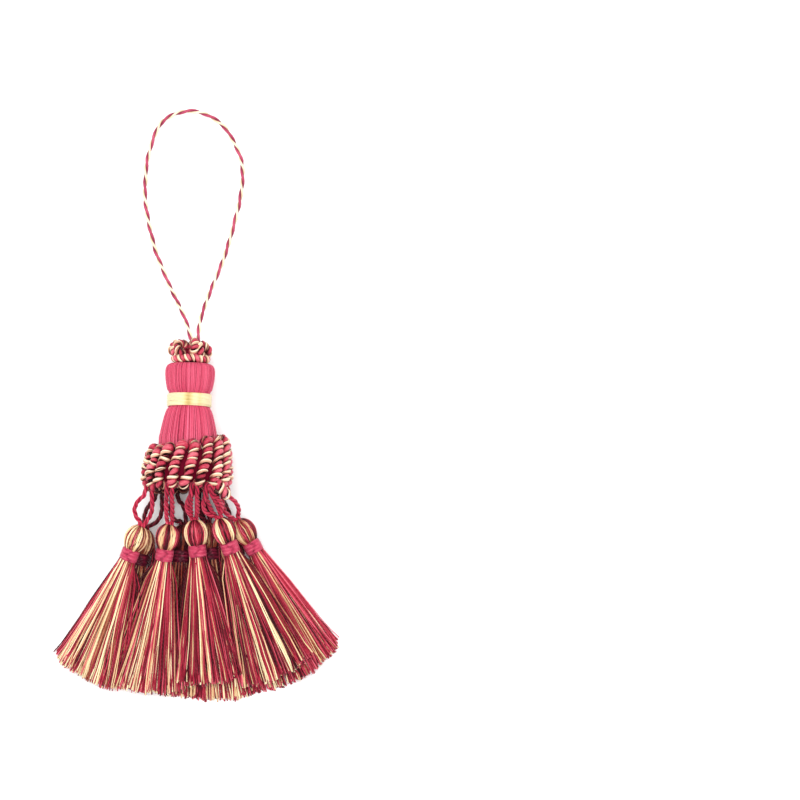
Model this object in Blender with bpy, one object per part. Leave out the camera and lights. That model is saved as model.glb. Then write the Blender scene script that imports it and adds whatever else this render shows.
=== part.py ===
"""A curtain tieback tassel with its hanging loop, lying on its back on a flat surface.

Frame: metres, +Z up with the surface at z = 0, +Y towards the hanging loop. The origin is the flat
spot on which the big ruff rests, below the head's axis.
"""

import math
from collections import namedtuple

import bmesh
import bpy
from mathutils import Euler, Vector

MM = 0.001
TURN = 2 * math.pi

# Clearance between pieces that touch in the real thing.
GAP = 0.3 * MM

# The head's axis runs from the ruff's middle to the collar. Heights along it are from the ruff's middle.
AXIS_HEIGHT = 17.6 * MM
AXIS_TILT = math.radians(5.0)
AXIS_LEAN = math.radians(1.6)

# Head: a turned mould covered with satin threads, waisted where the gold band goes round.
HEAD_SIDES = 24
HEAD_OUTLINE = ((-9.0, 11.8), (9.6, 11.6), (11.4, 11.2), (15.3, 10.3), (19.4, 9.2), (21.8, 8.4),
                (22.2, 8.1), (28.3, 8.1), (28.8, 8.7), (30.7, 9.2), (33.4, 9.6), (36.2, 9.8),
                (38.0, 9.6), (39.2, 8.9), (39.9, 7.8))
BAND_BOTTOM = 22.5 * MM
BAND_TOP = 28.0 * MM
BAND_EDGE = 0.6 * MM
BAND_INSIDE = 8.1 * MM + GAP
BAND_OUTSIDE = 9.0 * MM

# Big ruff: a thick twisted cord wound over and over round a ring, so that it stands in slanting columns.
RUFF_COLUMNS = 17
RUFF_OUTLINE = ((12.3, 7.6), (12.8, 9.4), (13.9, 10.0), (15.2, 8.6), (16.3, 6.6), (17.3, 4.2),
                (18.2, 1.2), (18.7, -2.0), (18.9, -5.6), (18.5, -8.6), (17.3, -10.6), (15.3, -11.6),
                (13.4, -11.6), (12.5, -10.9))
RUFF_ROWS = 17
RUFF_INSIDE = 12.15 * MM
RUFF_GROOVE = 2.1 * MM
RUFF_LOBE = 0.5 * MM
RUFF_SLANT = math.radians(-0.9) / MM
RUFF_UNDERSIDE = -11.6 * MM
# The upper part stands higher on one side, and the relief fades out where the ruff is pressed flat.
RUFF_LIFT = 2.7 * MM
RUFF_LIFT_SIDE = math.radians(-22)
RUFF_LIFT_FROM = -2.0 * MM
RUFF_LIFT_RUN = 5.0 * MM
RUFF_FADE = 3.0 * MM

# Collar on top of the head: the same cord, smaller, laid in petals round the hanging loop's foot.
COLLAR_PETALS = 9
COLLAR_OUTLINE = ((1.8, 48.2), (4.0, 49.4), (6.5, 49.1), (8.4, 47.2), (9.0, 44.6), (8.6, 42.0),
                  (6.8, 40.6), (1.6, 40.5))
COLLAR_ROWS = 9
COLLAR_GROOVE = 1.1 * MM
COLLAR_LOBE = 0.35 * MM

# Small tassels: a ball of threads folded over the hanger, a binding, and a skirt of locks. Distances
# along one are from its ball's middle.
BALL_SIDES = 12
BALL_RADIUS = 4.9 * MM
BALL_RIB = 0.25 * MM
BALL_TOP = 5.2 * MM
BALL_TOP_RADIUS = 1.7 * MM
# Where the ball's rings lie, as shares of the half turn from its top to its foot.
BALL_RINGS = (0.22, 0.40, 0.58, 0.76)
NECK_RADIUS = 2.9 * MM
NECK_START = 4.0 * MM
NECK_END = 10.4 * MM
BINDING_SIDES = 12
BINDING_START = 4.6 * MM
BINDING_END = 9.9 * MM
BINDING_INSIDE = NECK_RADIUS + GAP
BINDING_OUTSIDE = 3.7 * MM
LOCK_ROOT_DEPTH = 1.0 * MM
LOCK_ROOT_SPREAD = 2.5 * MM
LOCK_ROOT_RISE = 0.9 * MM
LOCK_THICKNESS = 0.7 * MM
LOCK_FILL = 0.66
LOCK_UNEVEN = 0.7 * MM
LOCK_STAGGER = 0.2
LOCK_STATIONS = (0.3, 0.65, 1.0)
# How fast the skirt drops from the neck towards the surface, and how fast its two layers close up.
SKIRT_SAG = 1.35
SKIRT_FLATTEN = 2.0

# Twisted cords. The lead is the length in which the two plies go once round each other.
LOOP_DIAMETER = 1.8 * MM
LOOP_LEAD = 9.6 * MM
LOOP_STEPS = 7
HANGER_DIAMETER = 1.9 * MM
HANGER_LEAD = 7.0 * MM
HANGER_STEPS = 6

# How far up a hanger, and how much of its full bulge it has there.
HANGER_SWELL = ((0.18, 0.45), (0.40, 0.9), (0.68, 0.75), (0.90, 0.25))

# One row for each small tassel, in mm and degrees. x, y, z is the ball's middle. The skirt fans from
# left to right of straight down (+X is positive), left_reach and right_reach are its lengths at the two
# edges, and left_z and right_z its tips' heights. anchor is the hanger's place round the ruff: 0 is +X
# and 90 faces up. left_bulge and right_bulge are how far its two strands bow out.
Small = namedtuple(
    "Small",
    "name x y z pitch left right left_reach right_reach left_z right_z tip_half anchor left_bulge "
    "right_bulge locks",
)
SMALL_TASSELS = (
    Small("back_1", -18.0, -31.4, 5.0, 0, -20.0, -6.0, 47, 49, 1.0, 1.0, 0.65, 225, 1.8, 2.8, 18),
    Small("back_2", -2.2, -30.0, 5.0, 0, -8.0, 2.0, 51.5, 53, 1.0, 1.0, 0.65, 251, 2.6, 1.6, 18),
    Small("back_3", 8.2, -29.0, 5.0, 0, -5.0, 10.5, 54.5, 54.5, 1.0, 1.0, 0.65, 292, 1.6, 1.8, 18),
    Small("back_4", 17.8, -35.4, 5.0, 0, 4.0, 27.0, 46, 47, 1.0, 1.0, 0.65, 328, 0.2, 1.6, 18),
    Small("front_1", -20.4, -29.8, 14.9, 10, -34.5, -9.5, 48.5, 51, 1.5, 5.0, 0.9, 164, 3.6, 1.8, 22),
    Small("front_2", -8.1, -29.4, 15.0, 8, -19.2, 0.6, 51, 52.5, 4.7, 4.7, 0.9, 116, 0.3, 0.3, 22),
    Small("front_3", 3.2, -27.7, 15.2, 8, -6.0, 17.3, 50.3, 50.3, 4.7, 4.7, 0.9, 78, 2.2, 0.5, 22),
    Small("front_4", 14.4, -26.8, 15.4, 8, 10.2, 30.0, 52.5, 51.5, 5.4, 7.1, 0.9, 56, 3.4, 2.4, 22),
    Small("front_5", 22.4, -27.2, 9.3, 6, 20.5, 42.5, 53.5, 47, 3.8, 1.5, 0.9, 10, 2.0, 2.0, 22),
)
HANGER_RING = 15.5 * MM

# The hanging loop's middle line, in mm: out of the collar, down to the surface, round, and back.
LOOP_ROUTE = (
    (1.5, 48.8, 14.3), (-0.9, 57.2, 11.2), (-4.1, 64.2, 8.3), (-7.2, 70.6, 5.6), (-10.1, 77.6, 3.3),
    (-12.7, 84.0, 1.8), (-14.9, 92.3, 1.1), (-16.5, 100.6, 1.0), (-17.2, 106.9, 1.0),
    (-17.0, 113.3, 1.0), (-16.5, 119.7, 1.0), (-15.2, 125.4, 1.0), (-13.3, 131.2, 1.0),
    (-10.4, 136.3, 1.0), (-6.0, 139.3, 1.0), (-1.8, 140.5, 1.0), (2.3, 140.7, 1.0),
    (6.8, 139.6, 1.0), (11.2, 137.2, 1.0), (15.1, 133.7, 1.0), (18.2, 128.6, 1.0),
    (20.8, 122.9, 1.0), (21.8, 117.1, 1.0), (21.6, 110.8, 1.0), (20.5, 103.8, 1.0),
    (18.9, 97.4, 1.0), (17.0, 90.4, 1.1), (14.4, 82.1, 1.8), (11.6, 75.0, 3.4), (9.0, 68.7, 5.8),
    (6.4, 61.6, 8.9), (4.8, 55.9, 11.5), (4.0, 49.0, 14.0),
)

CRIMSON = (0.42, 0.035, 0.075)
PINK_CRIMSON = (0.62, 0.08, 0.16)
CREAM_GOLD = (0.86, 0.68, 0.36)
MIXED = (0.50, 0.16, 0.13)


def material(name, colour, roughness):
    """A plain thread material of one colour."""
    made = bpy.data.materials.new(name)
    made.use_nodes = True
    made.diffuse_color = (*colour, 1.0)
    shader = made.node_tree.nodes["Principled BSDF"]
    shader.inputs["Base Color"].default_value = (*colour, 1.0)
    shader.inputs["Roughness"].default_value = roughness
    shader.inputs["Metallic"].default_value = 0.0
    return made


def add_object(name, bm, finish, parent=None, soft=False):
    """Makes an object of a closed bmesh, its faces pointing out; a soft one has no sharp edges."""
    bmesh.ops.recalc_face_normals(bm, faces=bm.faces)
    if bm.calc_volume(signed=True) < 0:
        bmesh.ops.reverse_faces(bm, faces=bm.faces)
    mesh = bpy.data.meshes.new(name)
    bm.to_mesh(mesh)
    bm.free()
    mesh.shade_smooth()
    if not soft:
        mesh.set_sharp_from_angle(angle=math.radians(50))
    mesh.materials.append(finish)
    made = bpy.data.objects.new(name, mesh)
    bpy.context.scene.collection.objects.link(made)
    made.parent = parent
    return made


def add_skin(bm, rings, looped=False):
    """Joins rings of points in order; a looped skin joins its last ring to its first."""
    rows = [[bm.verts.new(point) for point in ring] for ring in rings]
    pairs = list(zip(rows, rows[1:]))
    if looped:
        pairs.append((rows[-1], rows[0]))
    else:
        bm.faces.new(reversed(rows[0]))
        bm.faces.new(rows[-1])
    for low, high in pairs:
        for j, corner in enumerate(low):
            k = (j + 1) % len(low)
            bm.faces.new((corner, low[k], high[k], high[j]))


def skin(rings, looped=False):
    """A new bmesh with one skin."""
    bm = bmesh.new()
    add_skin(bm, rings, looped)
    return bm


def smooth_line(points, count):
    """Evenly spaced points on a smooth curve through the given ones."""
    ends = (2 * points[0] - points[1], 2 * points[-1] - points[-2])
    knots = [ends[0], *points, ends[1]]
    fine = []
    for a, b, c, d in zip(knots, knots[1:], knots[2:], knots[3:]):
        for step in range(8):
            t = step / 8
            bend = (2 * a - 5 * b + 4 * c - d) * t + (3 * b - a - 3 * c + d) * t * t
            fine.append(b + 0.5 * t * ((c - a) + bend))
    fine.append(points[-1])
    lengths = [(q - p).length for p, q in zip(fine, fine[1:])]
    spacing = sum(lengths) / (count - 1)
    line, walked, target = [fine[0]], 0.0, spacing
    for start, end, length in zip(fine, fine[1:], lengths):
        while target <= walked + length and len(line) < count - 1:
            line.append(start.lerp(end, (target - walked) / length))
            target += spacing
        walked += length
    line.append(fine[-1])
    return line


def line_length(points):
    """The length along a row of points."""
    return sum((q - p).length for p, q in zip(points, points[1:]))


def two_ply(diameter, sides):
    """The outline of two plies side by side: a waisted oblong, or a plain diamond with four sides."""
    half, waist = diameter / 2, diameter * 0.27
    if sides == 4:
        return ((half, 0), (0, waist * 1.15), (-half, 0), (0, -waist * 1.15))
    return ((half, 0), (waist, waist), (-waist, waist), (-half, 0), (-waist, -waist), (waist, -waist))


def twisted_cord(route, section, lead, steps):
    """A two-ply cord along a route: its section turns once in each lead."""
    points = [Vector(point) for point in route]
    count = round(line_length(points) / lead * steps) + 1
    line = smooth_line(points, count)
    across = (line[1] - line[0]).cross(Vector((0, 0, 1))).normalized()
    rings = []
    for i, point in enumerate(line):
        along = (line[min(i + 1, count - 1)] - line[max(i - 1, 0)]).normalized()
        across = (across - along * across.dot(along)).normalized()
        other = along.cross(across)
        turn = -TURN * i / steps
        cos, sin = math.cos(turn), math.sin(turn)
        rings.append([
            point + across * (a * cos - b * sin) + other * (a * sin + b * cos) for a, b in section
        ])
    return skin(rings)


def around(angle, radius, height):
    """A point round the head's axis: angle 0 is +X, and a quarter turn on faces up."""
    return Vector((radius * math.cos(angle), -radius * math.sin(angle), height))


def turned(outline, sides, looped=False):
    """A turned solid from (radius, height) pairs."""
    rings = [[around(TURN * j / sides, r, h) for j in range(sides)] for r, h in outline]
    return skin(rings, looped)


def wound_ring(outline, rows, columns, groove, lobe, slant=0.0, firm=lambda point: 1.0):
    """Rings of points for a cord wound over a ring: columns with grooves between, and lobes along them."""
    line = smooth_line([Vector((r * MM, 0, h * MM)) for r, h in outline], rows)
    rings = []
    for i, point in enumerate(line):
        along = line[min(i + 1, rows - 1)] - line[max(i - 1, 0)]
        outward = Vector((-along.z, 0, along.x)).normalized()
        ease = min(1.0, 1.6 * math.sin(math.pi * i / (rows - 1)))
        ring = []
        for j in range(columns * 3):
            angle = TURN * j / (columns * 3) + slant * point.z
            depth = groove if j % 3 == 2 else -lobe * (-1) ** i
            sunk = point - outward * depth * ease * firm(around(angle, point.x, point.z))
            ring.append(around(angle, sunk.x, sunk.z))
        rings.append(ring)
    return rings


def build_ruff(axis_empty, axis, finish):
    """The big ruff, its rim higher on one side, pressed flat where it rests on the surface."""
    rings = wound_ring(
        RUFF_OUTLINE, RUFF_ROWS, RUFF_COLUMNS, RUFF_GROOVE, RUFF_LOBE, RUFF_SLANT,
        lambda point: min(1.0, max(0.0, (axis @ point).z / RUFF_FADE)),
    )
    back = axis.inverted()
    for i, ring in enumerate(rings):
        for point in ring:
            if i in (0, RUFF_ROWS - 1):
                point.xy = point.xy.normalized() * RUFF_INSIDE
            side = math.atan2(-point.y, point.x) - RUFF_LIFT_SIDE
            share = min(1.0, max(0.0, (point.z - RUFF_LIFT_FROM) / RUFF_LIFT_RUN))
            point.z += RUFF_LIFT * math.cos(side) * share
            placed = axis @ point
            placed.z = max(placed.z, 0.0)
            point.xyz = back @ placed
    add_object("ruff", skin(rings, True), finish, axis_empty, soft=True)


def build_head(axis_empty, finishes):
    """The mould under its threads, the gold band round its waist and the collar on top."""
    outline = [(r * MM, h * MM) for h, r in HEAD_OUTLINE]
    add_object("head", turned(outline, HEAD_SIDES), finishes["pink"], axis_empty)
    shoulder = (BAND_INSIDE + BAND_OUTSIDE) / 2
    band = (
        (BAND_INSIDE, BAND_BOTTOM), (shoulder, BAND_BOTTOM), (BAND_OUTSIDE, BAND_BOTTOM + BAND_EDGE),
        (BAND_OUTSIDE, BAND_TOP - BAND_EDGE), (shoulder, BAND_TOP), (BAND_INSIDE, BAND_TOP),
    )
    add_object("gold_band", turned(band, HEAD_SIDES, True), finishes["gold"], axis_empty)
    collar = wound_ring(COLLAR_OUTLINE, COLLAR_ROWS, COLLAR_PETALS, COLLAR_GROOVE, COLLAR_LOBE)
    add_object("collar", skin(collar), finishes["mixed"], axis_empty, soft=True)


def build_loop(finish):
    """The hanging loop, a crimson and a gold ply twisted together."""
    route = [Vector(point) * MM for point in LOOP_ROUTE]
    cord = twisted_cord(route, two_ply(LOOP_DIAMETER, 6), LOOP_LEAD, LOOP_STEPS)
    add_object("hanging_loop", cord, finish, soft=True)


def tassel_axes(row):
    """A small tassel's ball middle and its own directions: along to the skirt, sideways and upward."""
    heading = math.radians((row.left + row.right) / 2)
    pitch = math.radians(row.pitch)
    side = Vector((math.cos(heading), math.sin(heading), 0))
    along = Vector((
        math.sin(heading) * math.cos(pitch), -math.cos(heading) * math.cos(pitch), -math.sin(pitch)
    ))
    return Vector((row.x, row.y, row.z)) * MM, along, side, along.cross(side)


def ball_and_neck(row):
    """The ribbed ball of threads and the neck that the binding goes round."""
    middle, along, side, up = tassel_axes(row)
    outline = [(BALL_TOP_RADIUS, -BALL_TOP, 0)]
    for share in BALL_RINGS:
        angle = math.pi * share
        outline.append((BALL_RADIUS * math.sin(angle), -BALL_RADIUS * math.cos(angle), BALL_RIB))
    outline += [(NECK_RADIUS, NECK_START, 0), (NECK_RADIUS, NECK_END, 0)]
    rings = []
    for radius, reach, rib in outline:
        ring = []
        for j in range(BALL_SIDES):
            angle = TURN * j / BALL_SIDES
            ribbed = radius - rib * (j % 2)
            ring.append(
                middle + along * reach + side * ribbed * math.cos(angle) + up * ribbed * math.sin(angle)
            )
        rings.append(ring)
    return skin(rings)


def lock_line(row, place, layer, longer):
    """The middle line of one lock, its width at each station, and the direction across it."""
    middle, along, side, up = tassel_axes(row)
    heading = math.radians(row.left + (row.right - row.left) * (place + 1) / 2)
    outward = Vector((math.sin(heading), -math.cos(heading), 0))
    tip_z = (row.left_z + (row.right_z - row.left_z) * (place + 1) / 2) * MM
    root = middle + along * NECK_END + side * place * LOCK_ROOT_SPREAD
    reach = (row.left_reach + (row.right_reach - row.left_reach) * (place + 1) / 2) * MM + longer
    fan = math.radians(row.right - row.left)
    points = [root - along * LOCK_ROOT_DEPTH + up * layer * LOCK_ROOT_RISE]
    widths = [2 * LOCK_ROOT_SPREAD]
    for station in LOCK_STATIONS:
        fall = 1 - station
        rise = row.tip_half * MM + (LOCK_ROOT_RISE - row.tip_half * MM) * fall ** SKIRT_FLATTEN
        height = tip_z + (root.z - tip_z) * fall ** SKIRT_SAG + layer * rise
        flat = root + outward * reach * station
        points.append(Vector((flat.x, flat.y, height)))
        widths.append(2 * LOCK_ROOT_SPREAD + reach * station * fan)
    return points, widths, Vector((math.cos(heading), math.sin(heading), 0))


def skirt(row):
    """The skirt's locks, in two layers, each a flat four-sided lock on its own."""
    bm = bmesh.new()
    per_layer = row.locks // 2
    for layer in (-1, 1):
        for i in range(per_layer):
            place = (2 * i + 1 + layer * LOCK_STAGGER) / per_layer - 1
            longer = LOCK_UNEVEN * math.sin(7.3 * i + 2.1 * layer)
            points, widths, across = lock_line(row, place, layer, longer)
            rings = []
            for point, width in zip(points, widths):
                half = across * width * LOCK_FILL / per_layer / 2
                thick = Vector((0, 0, LOCK_THICKNESS / 2))
                rings.append([point - half - thick, point + half - thick, point + half + thick,
                              point - half + thick])
            add_skin(bm, rings)
    return bm


def binding(row):
    """The wrapped thread round a small tassel's neck."""
    middle, along, side, up = tassel_axes(row)
    edge = (BINDING_END - BINDING_START) / 4
    outline = (
        (BINDING_INSIDE, BINDING_START), (BINDING_OUTSIDE - GAP, BINDING_START),
        (BINDING_OUTSIDE, BINDING_START + edge), (BINDING_OUTSIDE, BINDING_END - edge),
        (BINDING_OUTSIDE - GAP, BINDING_END), (BINDING_INSIDE, BINDING_END),
    )
    rings = []
    for radius, reach in outline:
        angles = [TURN * j / BINDING_SIDES for j in range(BINDING_SIDES)]
        rings.append([
            middle + along * reach + side * radius * math.cos(a) + up * radius * math.sin(a)
            for a in angles
        ])
    return skin(rings, looped=True)


def hanger_route(row, axis):
    """From the ball's top up to the ruff's underside and back, bulging on both sides."""
    middle, along, side, up = tassel_axes(row)
    radius = HANGER_DIAMETER / 2
    foot = middle - along * (BALL_TOP + 1.5 * GAP)
    top = axis @ around(math.radians(row.anchor), HANGER_RING, RUFF_UNDERSIDE - GAP - radius)
    way = top - foot
    across = way.cross(Vector((0, 0, 1))).normalized()
    right, left = [], []
    for half, sign, bulge in ((right, 1, row.right_bulge), (left, -1, row.left_bulge)):
        half.append(foot + side * sign * radius * 1.2)
        half.append(foot - along * radius + side * sign * radius * 1.25)
        for share, swell in HANGER_SWELL:
            half.append(foot + way * share + across * sign * (radius + bulge * MM * swell))
    return right + [top] + left[::-1]


def build_small_tassel(row, axis, finishes):
    """One small tassel: its ball with the skirt's locks fused to it, its binding and its hanger."""
    body = add_object(f"tassel_{row.name}", ball_and_neck(row), finishes["mixed"])
    locks = add_object(f"locks_{row.name}", skirt(row), finishes["mixed"])
    locks.hide_render = True
    locks.display_type = "WIRE"
    join = body.modifiers.new("skirt", "BOOLEAN")
    join.operation = "UNION"
    join.object = locks
    add_object(f"binding_{row.name}", binding(row), finishes["crimson"])
    route = hanger_route(row, axis)
    cord = twisted_cord(route, two_ply(HANGER_DIAMETER, 4), HANGER_LEAD, HANGER_STEPS)
    add_object(f"hanger_{row.name}", cord, finishes["crimson"], soft=True)


def main():
    """Clears the scene and builds the tassel."""
    for old in list(bpy.data.objects):
        bpy.data.objects.remove(old)
    finishes = {
        "pink": material("satin_pink_crimson", PINK_CRIMSON, 0.45),
        "crimson": material("twisted_crimson", CRIMSON, 0.55),
        "gold": material("satin_gold", CREAM_GOLD, 0.40),
        "mixed": material("crimson_and_gold", MIXED, 0.55),
    }
    axis_empty = bpy.data.objects.new("head_axis", None)
    bpy.context.scene.collection.objects.link(axis_empty)
    axis_empty.location = (0, 0, AXIS_HEIGHT)
    axis_empty.rotation_euler = Euler((-math.pi / 2 - AXIS_TILT, 0, -AXIS_LEAN))
    bpy.context.view_layer.update()
    axis = axis_empty.matrix_world.copy()
    build_head(axis_empty, finishes)
    build_ruff(axis_empty, axis, finishes["mixed"])
    build_loop(finishes["mixed"])
    for row in SMALL_TASSELS:
        build_small_tassel(row, axis, finishes)


main()
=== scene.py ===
"""Looks of a curtain tieback tassel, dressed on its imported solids.

The tassel lies on its back on a pale table, seen from straight above. Every cord, thread and
winding is a mesh of its own strands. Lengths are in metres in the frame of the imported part:
+Z up with the table at z = 0, and +Y towards the hanging loop.
"""

from __future__ import annotations

import logging
import math
from dataclasses import dataclass
from enum import Enum, IntEnum
from typing import NamedTuple

import bpy
import numpy as np
from mathutils import Euler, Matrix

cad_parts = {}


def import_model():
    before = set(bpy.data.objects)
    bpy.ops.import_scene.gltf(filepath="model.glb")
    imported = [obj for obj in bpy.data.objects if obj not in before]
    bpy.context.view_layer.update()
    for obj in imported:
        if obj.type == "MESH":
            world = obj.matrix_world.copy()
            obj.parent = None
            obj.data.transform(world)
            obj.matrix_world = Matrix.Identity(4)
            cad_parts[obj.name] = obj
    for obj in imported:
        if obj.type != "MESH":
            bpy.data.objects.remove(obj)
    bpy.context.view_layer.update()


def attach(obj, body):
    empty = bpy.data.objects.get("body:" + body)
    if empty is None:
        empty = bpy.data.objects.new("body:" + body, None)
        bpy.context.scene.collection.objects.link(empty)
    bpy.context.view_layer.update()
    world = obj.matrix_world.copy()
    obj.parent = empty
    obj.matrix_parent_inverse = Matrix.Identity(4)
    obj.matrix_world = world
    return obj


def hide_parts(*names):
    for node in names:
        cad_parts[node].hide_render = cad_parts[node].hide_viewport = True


LOG = logging.getLogger("tassel")

Array = np.ndarray
Colour = tuple[float, float, float]
Point = tuple[float, float, float]
Pair = tuple[float, float]
Triple = tuple[float, float, float]
# Some threads' middle lines, the sides that show, radii, yarns and tones.
Threads = tuple[Array, Array, Array, Array, Array]

MM = 0.001
TURN = 2 * math.pi
UP = np.array([0.0, 0.0, 1.0])

# Points between two knots of a smooth line.
SPAN_STEPS = 16
# Height and relative length of each wave in a wandering one.
SWINGS = ((0.55, 1.0), (0.3, 0.47), (0.15, 0.21))

# Names of the maps and the attribute that the thread finishes read, and of the strip layout.
STRAND_MAP = "Strand"
STRIP_MAP = "OFBake"
# The tone holds each yarn's own shades together with painted shade and painted highlight.
TONE = "tone"


class Twist(Enum):
    """Which way the plies of a cord wind round each other."""

    S = -1.0
    Z = 1.0


class Yarn(IntEnum):
    """The two yarns of a piece, in the order of its material slots."""

    CRIMSON = 0
    GOLD = 1


# ---------------------------------------------------------------------------------------------
# Lines and rings
# ---------------------------------------------------------------------------------------------


def unit(vectors: Array) -> Array:
    """Vectors along the last axis, each scaled to length one."""
    return vectors / np.maximum(np.linalg.norm(vectors, axis=-1, keepdims=True), 1e-12)


def dot(a: Array, b: Array) -> Array:
    """Dot products along the last axis, which is kept."""
    return np.sum(a * b, axis=-1, keepdims=True)


def walked(line: Array) -> Array:
    """The distance along a line at each of its points."""
    steps = np.linalg.norm(np.diff(line, axis=-2), axis=-1)
    start = np.zeros(steps.shape[:-1] + (1,))
    return np.concatenate([start, np.cumsum(steps, axis=-1)], axis=-1)


def shares(line: Array) -> Array:
    """How far along a line each of its points is, from 0 to 1."""
    along = walked(line)
    return along / along[-1]


def circle(count: int) -> Array:
    """Angles spaced evenly round a full turn."""
    return np.linspace(0, TURN, count, endpoint=False)


def between(ends: Pair, share: Array) -> Array:
    """Values at shares of the way from one end to the other."""
    return ends[0] + (ends[1] - ends[0]) * share


def spaced(line: Array, count: int) -> Array:
    """A line again, with evenly spaced points.

    Args:
        line: Points, one a row.
        count: How many points the new line has.

    Returns:
        The new line's points.
    """
    along = walked(line)
    at = np.linspace(0, along[-1], count)
    return np.stack([np.interp(at, along, line[:, k]) for k in range(line.shape[1])], axis=1)


def smooth_line(knots: Array, count: int) -> Array:
    """A smooth line through a few knots.

    Args:
        knots: Points that the line runs through, one a row.
        count: How many points the line has.

    Returns:
        Evenly spaced points on a Catmull-Rom curve through the knots.
    """
    ends = np.vstack([2 * knots[0] - knots[1], knots, 2 * knots[-1] - knots[-2]])
    a, b, c, d = (ends[k : len(ends) - 3 + k, None] for k in range(4))
    t = np.linspace(0, 1, SPAN_STEPS, endpoint=False)[None, :, None]
    bend = (2 * a - 5 * b + 4 * c - d) * t + (3 * b - a - 3 * c + d) * t * t
    fine = b + 0.5 * t * ((c - a) + bend)
    return spaced(np.vstack([fine.reshape(-1, knots.shape[1]), knots[-1]]), count)


def carried(line: Array, first: Array) -> Array:
    """Directions across a line that turn no more than the line itself does.

    Args:
        line: Points, one a row.
        first: A direction to start with.

    Returns:
        A unit direction across the line at each point.
    """
    along = unit(np.gradient(line, axis=0))
    across = np.empty_like(line)
    last = first
    for i, way in enumerate(along):
        last = last - way * np.dot(last, way)
        last = last / np.linalg.norm(last)
        across[i] = last
    return across


def wander(rng: np.random.Generator, at: Array, wavelength: float) -> Array:
    """A slow, smooth, irregular wave between about -1 and 1.

    Args:
        rng: Source of the wave's phases.
        at: Where the wave is wanted.
        wavelength: Length of its main swing, in the units of at.

    Returns:
        The wave's values, in the shape of at.
    """
    total = np.zeros_like(at)
    for share, stretch in SWINGS:
        total += share * np.sin(TURN * at / (wavelength * stretch) + rng.uniform(0, TURN))
    return total


def wanders(rng: np.random.Generator, at: Array, wavelength: float, count: int) -> Array:
    """Wandering waves for as many strands, one a row."""
    return np.stack([wander(rng, at, wavelength) for _ in range(count)])


def swings(rng: np.random.Generator, at: Array, waves: tuple[Pair, ...]) -> Array:
    """The sum of wandering waves, each given by its swing and its wavelength."""
    return sum(swing * wander(rng, at, wavelength) for swing, wavelength in waves)


def spread(values: Array | float, shape: tuple[int, ...]) -> Array:
    """Values that are repeated along the axes they lack at the end, to fill a shape."""
    values = np.asarray(values, float)
    return np.broadcast_to(values.reshape(values.shape + (1,) * (len(shape) - values.ndim)), shape)


def bell(at: Array | float, middle: float, width: float) -> Array:
    """A smooth hump of height one."""
    return np.exp(-(((at - middle) / width) ** 2))


def sweep(lines: Array, outward: Array, radii: Array, sides: int) -> Array:
    """Round rings along many strands at once.

    Args:
        lines: Middle lines, as (strand, point, xyz).
        outward: The side of each strand that shows, in the same shape.
        radii: Radius at each point, as (strand, point).
        sides: Points in each ring. The first lies inward, where a map may have its seam.

    Returns:
        Rings as (strand, point, side, xyz).
    """
    along = unit(np.gradient(lines, axis=1))
    out = unit(outward - along * dot(outward, along))
    across = np.cross(along, out)
    angle = math.pi + TURN * np.arange(sides) / sides
    cos, sin = np.cos(angle)[:, None], np.sin(angle)[:, None]
    reach = out[:, :, None] * cos + across[:, :, None] * sin
    return lines[:, :, None] + radii[:, :, None, None] * reach


def placed(name: str, data: bpy.types.ID) -> bpy.types.Object:
    """A new object made of some data and linked to the scene."""
    made = bpy.data.objects.new(name, data)
    bpy.context.scene.collection.objects.link(made)
    return made


class Part(NamedTuple):
    """The corners of some faces of a piece, before they are made into a mesh."""

    points: Array
    faces: Array
    tape: Array
    around: Array
    slots: Array
    tones: Array
    smooth: Array


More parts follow.
